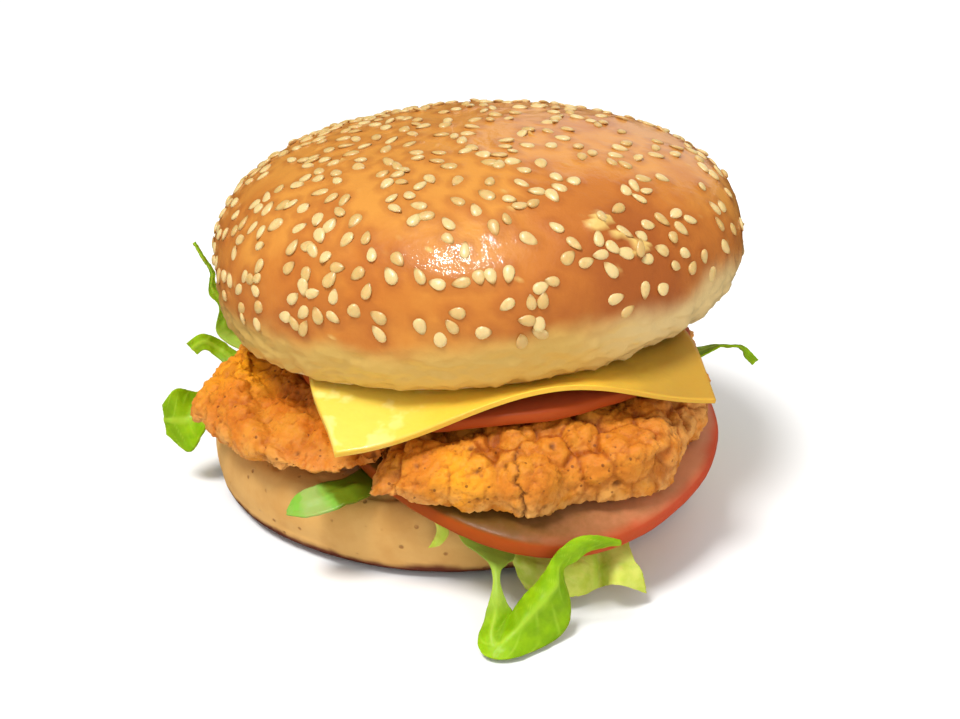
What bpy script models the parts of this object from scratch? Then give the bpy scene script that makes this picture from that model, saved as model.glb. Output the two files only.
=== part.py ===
"""A fried chicken burger in a sesame bun. Metres, +Z up.

The origin is the centre of the heel's flat base, and the front is towards -Y. From the table up:
bun heel, lettuce leaves, lower tomato slice, two pieces of fried chicken, upper tomato slice,
cheese slice and bun crown. Each layer's height is a function of the place under it, so that every
piece rests on the one below with a small clearance.
"""

import math

import bmesh
import bpy
from mathutils import Matrix, Vector, noise

MM = 0.001
GAP = 0.35 * MM  # clearance between pieces that touch

# Bun heel: a flat base, a bulging side and a cut face on top.
HEEL_RADIUS = 54.0 * MM
HEEL_BASE_RADIUS = 49.0 * MM
HEEL_HEIGHT = 18.0 * MM
HEEL_WAIST = 9.0 * MM  # height of the widest ring
HEEL_FULLNESS = 5.0  # superellipse power of the shoulder
HEEL_WAVES = ((0.006, 2, 0.6), (0.005, 3, 2.0))  # unevenness of its outline: share, count, phase
HEEL_BASE_RISE = -math.pi / 4.0  # rise on the ball at which the side meets the base
HEEL_MESH = (40, 10)  # segments round and rings

# Bun crown: an uneven dome over a narrower cut face, tipped up on the right.
CROWN_RADIUS = 56.0 * MM
CROWN_CENTRE = Vector((4.3, 0.0, 52.0)) * MM  # middle of the widest ring
CROWN_RISE = 25.9 * MM  # dome above the widest ring
CROWN_DROP = 11.8 * MM  # side below the widest ring
CROWN_FULLNESS = 2.35  # superellipse power of the dome
CROWN_CUT = 0.88  # cut face's radius over the widest radius
CROWN_CUT_SKEW = -0.059  # the cut face is tucked in on the right
CROWN_CORNERS = (0.011, 3, 0.0)  # slight three-cornered unevenness: share, count, phase
CROWN_APEX_SHIFT = -1.3 * MM
CROWN_DISH = 1.2 * MM  # hollow of the cut face
CROWN_TIP = math.radians(3.4)  # about Y, right side up
CROWN_NOD = math.radians(1.2)  # about X, back side up
CROWN_CUT_RISE = -math.pi / 3.0  # rise on the ball at which the side meets the cut face
CROWN_MESH = (40, 16)

# Lettuce.
LEAF_THICKNESS = 0.8 * MM
BED_TOP = HEEL_HEIGHT + GAP + LEAF_THICKNESS + GAP  # what lies on the lettuce starts here
BED_MIDDLE = 18.75  # mm, the middle of a leaf between the heel and what lies on it
LEAF_GREEN = (0.30, 0.50, 0.03)
LEAF_PALE = (0.52, 0.55, 0.12)
RUFFLES = 2.5  # waves across a ruffled leaf
RUFFLE_PHASE = 1.0
RUFFLE_START = 0.6  # share of the leaf's length where they begin

# Tomato slices.
TOMATO_LOWER_CENTRE = Vector((15.4, -21.6, 0.0)) * MM
TOMATO_LOWER_RADII = (38.4 * MM, 44.3 * MM)  # across and front to back
TOMATO_LOWER_THICKNESS = 3.8 * MM
TOMATO_LOWER_TIP = 0.06  # slope up to the right of its centre
SAG = 8.0 * MM  # fall of the lower slice's front rim, which overhangs the heel
SAG_START = 46.0 * MM
SAG_REACH = 24.0 * MM
SAG_POWER = 1.6
TOMATO_UPPER_CENTRE = Vector((8.0, -18.0, 0.0)) * MM
TOMATO_UPPER_RADII = (40.0 * MM, 36.3 * MM)
TOMATO_UPPER_FRONT = 33.9 * MM  # underside of its front rim, which droops away from the cheese
TOMATO_UPPER_RISE = 0.3  # slope up from the front rim
TOMATO_UPPER_TIP = 0.05  # slope down to the right of its centre
TOMATO_UPPER_THICKNESS = 2.8 * MM
TOMATO_BULGE = 0.8 * MM  # rounding of the skin's edge
TOMATO_LOBES = (0.012, 5, 1.0)  # unevenness of a slice's outline: share, count, phase
TOMATO_MESH = (32, 12)
DRAPE_STEP = 3.0 * MM  # the upper slice lies under the lowest cheese this near
RIM_CLEAR = 6.5 * MM
RIM_BLEND = 13.0 * MM  # a neighbour steps off a slice's rim between these two distances
SLAB_SIDE = 0.4  # share of a slab's rings that make its rounded side

# Cheese: a square slice with its front edge hanging out of the bun.
CHEESE_SPAN = 70.0 * MM  # its waved front edge, measured straight across
CHEESE_LENGTH = 74.0 * MM  # its true side
CHEESE_SPREAD_LEFT = 0.75  # of what the waved edge lacks in width, the share on the left
CHEESE_THICKNESS = 1.6 * MM
CHEESE_EDGE_SHARE = 0.6  # of the thickness, left at the hanging front edge
CHEESE_EDGE_INWARD = 0.07  # where from the front edge the slice has its full thickness
CHEESE_CENTRE = Vector((7.7, -17.6, 0.0)) * MM
CHEESE_TURN = math.radians(9.9)
CHEESE_CREST = 0.6  # where along the front edge it stands highest
CHEESE_CREST_HEIGHT = 40.0 * MM  # underside of the crest
CHEESE_LEFT_FALL = 10.0 * MM
CHEESE_RIGHT_FALL = 5.0 * MM
CHEESE_HANG = 0.24  # share of the slice that hangs
CHEESE_HANG_POWER = 1.3
CHEESE_EASE = 0.5 * MM  # rounding where it leaves the crown
CHEESE_SLACK = 0.1 * MM  # taken off its thickness, for the flat facets of its curves
CHEESE_STEPS = 13

# Chicken: outlines of the two pieces from above, in millimetres, anticlockwise from the front.
CHICKEN_RIGHT_CENTRE = Vector((21.0, -14.0, 0.0)) * MM
CHICKEN_RIGHT_OUTLINE = (
    (-18.0, -58.5), (-5.0, -62.0), (4.0, -64.0), (14.0, -64.6), (22.0, -62.8), (32.0, -60.3),
    (40.5, -55.0), (47.0, -45.0), (51.0, -34.0), (52.0, -17.0), (48.0, 9.0), (35.0, 30.0),
    (12.0, 38.0), (-12.0, 30.0), (-14.0, 0.0), (-16.0, -28.0),
)
CHICKEN_LEFT_CENTRE = Vector((-32.0, -6.0, 0.0)) * MM
CHICKEN_LEFT_OUTLINE = (
    (-15.5, -50.0), (-5.0, -49.0), (-6.0, -28.0), (-9.5, 0.0), (-7.5, 30.0), (-20.0, 39.0),
    (-34.0, 31.0), (-43.5, 16.0), (-46.5, 2.0), (-48.5, -7.0), (-52.5, -16.0), (-55.0, -24.5),
    (-49.0, -32.0), (-39.0, -43.0), (-26.0, -50.0),
)
SEAM = -12.5 * MM  # where the two pieces press against each other
SEAM_WANDER = 1.2 * MM
SEAM_WAVE = 13.0 * MM
SEAM_LEAN = 0.8  # at the front the right piece's end lies under the left piece
SEAM_LEAN_FROM = -30.0 * MM
SEAM_LEAN_TO = -45.0 * MM  # the lean grows between these two places from back to front
SEAM_LEVEL = 26.0 * MM  # height about which the seam leans
SEAM_CLEAR = 0.4 * MM  # from the seam to either piece
CHICKEN_BULGES = (2.5 * MM, 8.0 * MM)  # rounding of the side, below and above its widest ring
CHICKEN_LEFT_SLOPE = 0.5  # fall of the left piece's top beyond the crown's cut face
CHICKEN_LEFT_LEVEL = 44.0 * MM  # distance from the crown's middle where that fall starts
CRAG_SIZE = 11.0 * MM
CRAG_DEPTHS = {"right": 6.5 * MM, "left": 2.5 * MM}  # in the side
CRAG_TOP_SHARE = 0.4  # depth of the crags on top, over that in the side
CRAG_TOP_FADE = 0.3  # power by which the crags fade in from the side to the top
CRAG_LIFT = 8.0 * MM  # how far the crags seen in the side run up and down it
CHICKEN_RIGHT_MESH = (52, 18)
CHICKEN_LEFT_MESH = (48, 16)
SETTLING_STEPS = 4  # rounds in which a point finds its height and its place at the seam


# ---------------------------------------------------------------- shaping helpers

def smooth_step(start, end, value):
    """0 below start, 1 above end and an S-curve between."""
    share = min(max((value - start) / (end - start), 0.0), 1.0)
    return share * share * (3.0 - 2.0 * share)


def mix(first, second, share):
    return first + (second - first) * share


def waved(turn, wave):
    """1 with a wave of (share, count, phase) added, at a turn round a centre."""
    share, count, phase = wave
    return 1.0 + share * math.cos(count * turn + phase)


def lesser(first, second, ease):
    """The smaller of two values, eased over where they cross."""
    gap = max(ease - abs(first - second), 0.0) / ease
    return min(first, second) - ease * gap * gap / 4.0


def on_curve(points, position):
    """A point of the smooth curve through points, where position runs from 0 to 1."""
    place = position * (len(points) - 1)
    index = min(int(place), len(points) - 2)
    share = place - index
    before = points[max(index - 1, 0)]
    start = points[index]
    end = points[index + 1]
    after = points[min(index + 2, len(points) - 1)]
    return 0.5 * (
        2.0 * start
        + (end - before) * share
        + (2.0 * before - 5.0 * start + 4.0 * end - after) * share ** 2
        + (3.0 * start - before - 3.0 * end + after) * share ** 3
    )


def polar_outline(points, centre):
    """The radius of a closed outline as a function of the turn round its centre."""
    spokes = []
    for x, y in points:
        offset = Vector((x, y, 0.0)) * MM - centre
        spokes.append((math.atan2(offset.y, offset.x) % math.tau, offset.length))
    spokes.sort()
    turns = [turn for turn, _ in spokes]
    radii = [radius for _, radius in spokes]
    count = len(spokes)

    def radius_at(turn):
        turn %= math.tau
        after = next((i for i, start in enumerate(turns) if start > turn), 0)
        before = (after - 1) % count
        span = (turns[after] - turns[before]) % math.tau
        share = ((turn - turns[before]) % math.tau) / span
        around = [radii[(before + step) % count] for step in (-1, 0, 1, 2)]
        return on_curve(around, (1.0 + share) / 3.0)

    return radius_at


# ---------------------------------------------------------------- heights of the layers

def heel_top(radius):
    """Height of the heel's upper surface at a distance from its middle."""
    share = min(radius / HEEL_RADIUS, 1.0)
    return mix(HEEL_WAIST, HEEL_HEIGHT, (1.0 - share ** HEEL_FULLNESS) ** (1.0 / HEEL_FULLNESS))


def crown_plane(x, y):
    """Height of the crown's cut face."""
    return (
        CROWN_CENTRE.z - CROWN_DROP
        + math.tan(CROWN_TIP) * (x - CROWN_CENTRE.x)
        + math.tan(CROWN_NOD) * (y - CROWN_CENTRE.y)
    )


def crown_cut(turn):
    """Radius of the cut face over the widest radius, at a turn round the crown."""
    return CROWN_CUT + CROWN_CUT_SKEW * math.cos(turn)


def crown_underside(x, y):
    """Height of the crown's lower surface, which curves up beyond the cut face."""
    across = x - CROWN_CENTRE.x
    back = y - CROWN_CENTRE.y
    share = math.hypot(across, back) / CROWN_RADIUS
    cut = crown_cut(math.atan2(back, across))
    if share <= cut:
        return crown_plane(x, y)
    out = min((share - cut) / (1.0 - cut), 1.0)
    return crown_plane(x, y) + CROWN_DROP * (1.0 - math.sqrt(1.0 - out * out))


def cheese_across(along, inward):
    """Distance of a place on the slice from its middle line: only the waved edge is narrower."""
    spread = (CHEESE_LENGTH - CHEESE_SPAN) * smooth_step(0.0, CHEESE_HANG, inward)
    left = -CHEESE_SPAN / 2.0 - spread * CHEESE_SPREAD_LEFT
    right = CHEESE_SPAN / 2.0 + spread * (1.0 - CHEESE_SPREAD_LEFT)
    return mix(left, right, along)


def cheese_place(x, y):
    """(along, inward) shares of the cheese slice at a point, from its front left corner."""
    offset = Vector((x, y, 0.0)) - CHEESE_CENTRE
    offset.rotate(Matrix.Rotation(-CHEESE_TURN, 3, "Z"))
    inward = offset.y / CHEESE_LENGTH + 0.5
    left = cheese_across(0.0, inward)
    right = cheese_across(1.0, inward)
    return (offset.x - left) / (right - left), inward


def cheese_edge(along):
    """Height of the underside of the slice's front edge, highest at its crest."""
    if along < CHEESE_CREST:
        fall = CHEESE_LEFT_FALL
        share = (CHEESE_CREST - along) / CHEESE_CREST
    else:
        fall = CHEESE_RIGHT_FALL
        share = (along - CHEESE_CREST) / (1.0 - CHEESE_CREST)
    return CHEESE_CREST_HEIGHT - fall * (1.0 - math.cos(math.pi * min(share, 1.0))) / 2.0


def cheese_under(x, y):
    """Height of the cheese's underside, or of what would be its underside beyond its edges."""
    along, inward = cheese_place(x, y)
    under_bun = crown_plane(x, y) - GAP - CHEESE_THICKNESS
    hang = max(1.0 - max(inward, 0.0) / CHEESE_HANG, 0.0) ** CHEESE_HANG_POWER
    hanging = mix(under_bun, cheese_edge(min(max(along, 0.0), 1.0)), hang)
    return lesser(hanging, crown_underside(x, y) - GAP - CHEESE_THICKNESS, CHEESE_EASE)


def tomato_lower_floor(x, y):
    """Height of the lower slice's underside, which falls where it leaves the heel."""
    beyond = max(math.hypot(x, y) - SAG_START, 0.0) / SAG_REACH
    tip = TOMATO_LOWER_TIP * max(x - TOMATO_LOWER_CENTRE.x, 0.0)
    return BED_TOP + tip - SAG * beyond ** SAG_POWER


def tomato_upper_floor(x, y):
    """Height of the upper slice's underside: its front rim droops, and the cheese presses the rest."""
    near = [(0.0, 0.0), (DRAPE_STEP, 0.0), (-DRAPE_STEP, 0.0), (0.0, DRAPE_STEP), (0.0, -DRAPE_STEP)]
    lowest = min(cheese_under(x + across, y + back) for across, back in near)
    behind_rim = y - TOMATO_UPPER_CENTRE.y + TOMATO_UPPER_RADII[1]
    drooping = TOMATO_UPPER_FRONT + TOMATO_UPPER_RISE * behind_rim
    drooping -= TOMATO_UPPER_TIP * (x - TOMATO_UPPER_CENTRE.x)
    return min(lowest - GAP - TOMATO_UPPER_THICKNESS, drooping)


def slice_radius(turn, radii):
    """Radius of a slice's oval, slightly lobed outline at a turn round its centre."""
    oval = 1.0 / math.hypot(math.cos(turn) / radii[0], math.sin(turn) / radii[1])
    return oval * waved(turn, TOMATO_LOBES)


def off_slice(x, y, centre, radii):
    """Distance of a point beyond a slice's rim."""
    across = x - centre.x
    back = y - centre.y
    return math.hypot(across, back) - slice_radius(math.atan2(back, across), radii)


def chicken_floor(x, y):
    """Lowest height of the chicken: on the lower tomato, or on the lettuce beside it."""
    on_tomato = tomato_lower_floor(x, y) + TOMATO_LOWER_THICKNESS + GAP
    off_rim = off_slice(x, y, TOMATO_LOWER_CENTRE, TOMATO_LOWER_RADII)
    return mix(on_tomato, BED_TOP + GAP, smooth_step(RIM_CLEAR, RIM_BLEND, off_rim))


def chicken_ceiling(x, y):
    """Greatest height of the chicken: under the upper tomato, the cheese or the crown."""
    along, inward = cheese_place(x, y)
    beside_cheese = max(-along, along - 1.0, inward - 1.0) * CHEESE_SPAN
    under_cheese = cheese_under(x, y) - GAP
    under_bun = crown_plane(x, y) - GAP
    roof = mix(under_cheese, under_bun, smooth_step(RIM_CLEAR, RIM_BLEND, beside_cheese))
    off_rim = off_slice(x, y, TOMATO_UPPER_CENTRE, TOMATO_UPPER_RADII)
    under_tomato = tomato_upper_floor(x, y) - GAP
    return mix(under_tomato, roof, smooth_step(RIM_CLEAR, RIM_BLEND, off_rim))


# ---------------------------------------------------------------- making objects

def new_material(name, colour, roughness):
    material = bpy.data.materials.new(name)
    material.use_nodes = True
    shader = material.node_tree.nodes["Principled BSDF"]
    shader.inputs["Base Color"].default_value = (*colour, 1.0)
    shader.inputs["Roughness"].default_value = roughness
    shader.inputs["Metallic"].default_value = 0.0
    return material


def add_object(name, shape, material, collection):
    mesh = bpy.data.meshes.new(name)
    bmesh.ops.recalc_face_normals(shape, faces=shape.faces)
    shape.to_mesh(mesh)
    shape.free()
    mesh.shade_smooth()
    mesh.materials.append(material)
    piece = bpy.data.objects.new(name, mesh)
    collection.objects.link(piece)
    return piece


def round_solid(counts, place):
    """A ball primitive of (segments, rings), whose points move to place(turn, rise) in radians."""
    segments, rings = counts
    shape = bmesh.new()
    bmesh.ops.create_uvsphere(shape, u_segments=segments, v_segments=rings, radius=1.0)
    for vertex in shape.verts:
        turn = math.atan2(vertex.co.y, vertex.co.x)
        rise = math.asin(min(max(vertex.co.z, -1.0), 1.0))
        vertex.co = place(turn, rise)
    return shape


def slab_ring(rise, radius, bulges):
    """(reach, lift) of a slab's ring: its radius, and its height from -1 below to 1 on top.

    The side is rounded by bulges, (below, above)."""
    share = abs(rise) / (math.pi / 2.0)
    bulge = bulges[0] if rise < 0.0 else bulges[1]
    if share < SLAB_SIDE:
        angle = share / SLAB_SIDE * math.pi / 2.0
        reach = radius - bulge * (1.0 - math.cos(angle))
        lift = math.sin(angle)
    else:
        reach = (radius - bulge) * (1.0 - share) / (1.0 - SLAB_SIDE)
        lift = 1.0
    return reach, math.copysign(lift, rise)


def slab_height(x, y, lift, floor, ceiling):
    return mix(floor(x, y), ceiling(x, y), 0.5 + 0.5 * lift)


# ---------------------------------------------------------------- the bun

def heel_point(turn, rise):
    if rise >= 0.0:
        reach = HEEL_RADIUS * math.cos(rise) ** (2.0 / HEEL_FULLNESS)
        height = heel_top(reach)
    elif rise > HEEL_BASE_RISE:
        fall = rise / HEEL_BASE_RISE * math.pi / 2.0
        reach = mix(HEEL_BASE_RADIUS, HEEL_RADIUS, math.cos(fall))
        height = HEEL_WAIST * (1.0 - math.sin(fall))
    else:
        reach = HEEL_BASE_RADIUS * (math.pi / 2.0 + rise) / (math.pi / 2.0 + HEEL_BASE_RISE)
        height = 0.0
    for wave in HEEL_WAVES:
        reach *= waved(turn, wave)
    return Vector((reach * math.cos(turn), reach * math.sin(turn), height))


def crown_point(turn, rise):
    cut = crown_cut(turn)
    shift = 0.0
    if rise >= 0.0:
        reach = math.cos(rise) ** (2.0 / CROWN_FULLNESS)
        height = CROWN_RISE * math.sin(rise) ** (2.0 / CROWN_FULLNESS)
        shift = CROWN_APEX_SHIFT * (height / CROWN_RISE) ** 2
    elif rise > CROWN_CUT_RISE:
        fall = rise / CROWN_CUT_RISE * math.pi / 2.0
        reach = cut + (1.0 - cut) * math.cos(fall)
        height = -CROWN_DROP * math.sin(fall)
    else:
        share = (math.pi / 2.0 + rise) / (math.pi / 2.0 + CROWN_CUT_RISE)
        reach = cut * share
        height = CROWN_DISH * (1.0 - share * share) - CROWN_DROP
    reach *= CROWN_RADIUS * waved(turn, CROWN_CORNERS)
    point = Vector((reach * math.cos(turn) + shift, reach * math.sin(turn), height))
    tilt = Matrix.Rotation(-CROWN_TIP, 3, "Y") @ Matrix.Rotation(CROWN_NOD, 3, "X")
    return tilt @ point + CROWN_CENTRE


def make_bun(collection):
    crust = new_material("bun_crust", (0.60, 0.27, 0.08), 0.35)
    tan = new_material("heel_crust", (0.62, 0.40, 0.18), 0.7)
    add_object("bun_heel", round_solid(HEEL_MESH, heel_point), tan, collection)
    add_object("bun_crown", round_solid(CROWN_MESH, crown_point), crust, collection)


# ---------------------------------------------------------------- tomato and cheese

def make_tomatoes(collection):
    flesh = new_material("tomato", (0.62, 0.12, 0.06), 0.3)
    slices = (
        ("tomato_lower", TOMATO_LOWER_CENTRE, TOMATO_LOWER_RADII, tomato_lower_floor,
         TOMATO_LOWER_THICKNESS),
        ("tomato_upper", TOMATO_UPPER_CENTRE, TOMATO_UPPER_RADII, tomato_upper_floor,
         TOMATO_UPPER_THICKNESS),
    )
    for name, centre, radii, floor, thickness in slices:
        shape = round_solid(TOMATO_MESH, slice_placer(centre, radii, floor, thickness))
        add_object(name, shape, flesh, collection)


def slice_placer(centre, radii, floor, thickness):
    def ceiling(x, y):
        return floor(x, y) + thickness

    def place(turn, rise):
        reach, lift = slab_ring(rise, slice_radius(turn, radii), (TOMATO_BULGE, TOMATO_BULGE))
        x = centre.x + reach * math.cos(turn)
        y = centre.y + reach * math.sin(turn)
        return Vector((x, y, slab_height(x, y, lift, floor, ceiling)))

    return place


def make_cheese(collection):
    shape = bmesh.new()
    bmesh.ops.create_grid(shape, x_segments=CHEESE_STEPS, y_segments=CHEESE_STEPS, size=0.5)
    turned = Matrix.Rotation(CHEESE_TURN, 3, "Z")
    shares = []
    for vertex in shape.verts:
        inward = vertex.co.y + 0.5
        shares.append(mix(CHEESE_EDGE_SHARE, 1.0, min(inward / CHEESE_EDGE_INWARD, 1.0)))
        across = cheese_across(vertex.co.x + 0.5, inward)
        x, y, _ = turned @ Vector((across, vertex.co.y * CHEESE_LENGTH, 0.0)) + CHEESE_CENTRE
        vertex.co = (x, y, cheese_under(x, y) + CHEESE_THICKNESS / 2.0)
    material = new_material("cheese", (0.85, 0.60, 0.12), 0.35)
    cheese = add_object("cheese", shape, material, collection)
    thinned = cheese.vertex_groups.new(name="thinned")
    for index, share in enumerate(shares):
        thinned.add([index], share, "REPLACE")
    thicken(cheese, CHEESE_THICKNESS - CHEESE_SLACK).vertex_group = thinned.name


def thicken(piece, thickness):
    """The modifier that gives a sheet its thickness."""
    modifier = piece.modifiers.new("thickness", "SOLIDIFY")
    modifier.thickness = thickness
    modifier.offset = 0.0
    modifier.use_even_offset = False
    return modifier


# ---------------------------------------------------------------- fried chicken

def crag(point):
    """Depth of the crust below its bumps, 0 on top of a bump and up to about 1 in a cleft."""
    nearest = noise.voronoi(point / CRAG_SIZE)[0][0]
    return min(nearest * nearest, 1.0)


def beside_seam(point, side):
    """The point's x, kept on its piece's side of the seam."""
    lean = SEAM_LEAN * smooth_step(SEAM_LEAN_FROM, SEAM_LEAN_TO, point.y)
    seam = SEAM + SEAM_WANDER * math.sin(point.y / SEAM_WAVE) + lean * (point.z - SEAM_LEVEL)
    if side == "right":
        return max(point.x, seam + SEAM_CLEAR)
    return min(point.x, seam - SEAM_CLEAR)


def chicken_left_ceiling(x, y):
    beyond = math.hypot(x - CROWN_CENTRE.x, y - CROWN_CENTRE.y) - CHICKEN_LEFT_LEVEL
    return chicken_ceiling(x, y) - CHICKEN_LEFT_SLOPE * max(beyond, 0.0)


def chicken_shape(centre, outline, side, ceiling, counts):
    radius_at = polar_outline(outline, centre)
    depth = CRAG_DEPTHS[side]
    middle = (HEEL_HEIGHT + CROWN_CENTRE.z - CROWN_DROP) / 2.0

    def place(turn, rise):
        rim = Vector((math.cos(turn), math.sin(turn), 0.0)) * radius_at(turn) + centre
        rim.z = middle + CRAG_LIFT * math.sin(rise)
        dent = depth * crag(rim) * math.sqrt(math.cos(rise))
        reach, lift = slab_ring(rise, radius_at(turn) - dent, CHICKEN_BULGES)
        point = centre + Vector((math.cos(turn), math.sin(turn), 0.0)) * reach
        for _ in range(SETTLING_STEPS):
            point.z = slab_height(point.x, point.y, lift, chicken_floor, ceiling)
            point.x = beside_seam(point, side)
        point.z = slab_height(point.x, point.y, lift, chicken_floor, ceiling)
        if rise > 0.0:
            point.z -= CRAG_TOP_SHARE * depth * crag(point) * math.sin(rise) ** CRAG_TOP_FADE
        return point

    return round_solid(counts, place)


def make_chicken(collection):
    crust = new_material("fried_crust", (0.72, 0.30, 0.05), 0.6)
    right = chicken_shape(
        CHICKEN_RIGHT_CENTRE, CHICKEN_RIGHT_OUTLINE, "right", chicken_ceiling, CHICKEN_RIGHT_MESH)
    left = chicken_shape(
        CHICKEN_LEFT_CENTRE, CHICKEN_LEFT_OUTLINE, "left", chicken_left_ceiling, CHICKEN_LEFT_MESH)
    add_object("chicken_right", right, crust, collection)
    add_object("chicken_left", left, crust, collection)


# ---------------------------------------------------------------- lettuce

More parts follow.
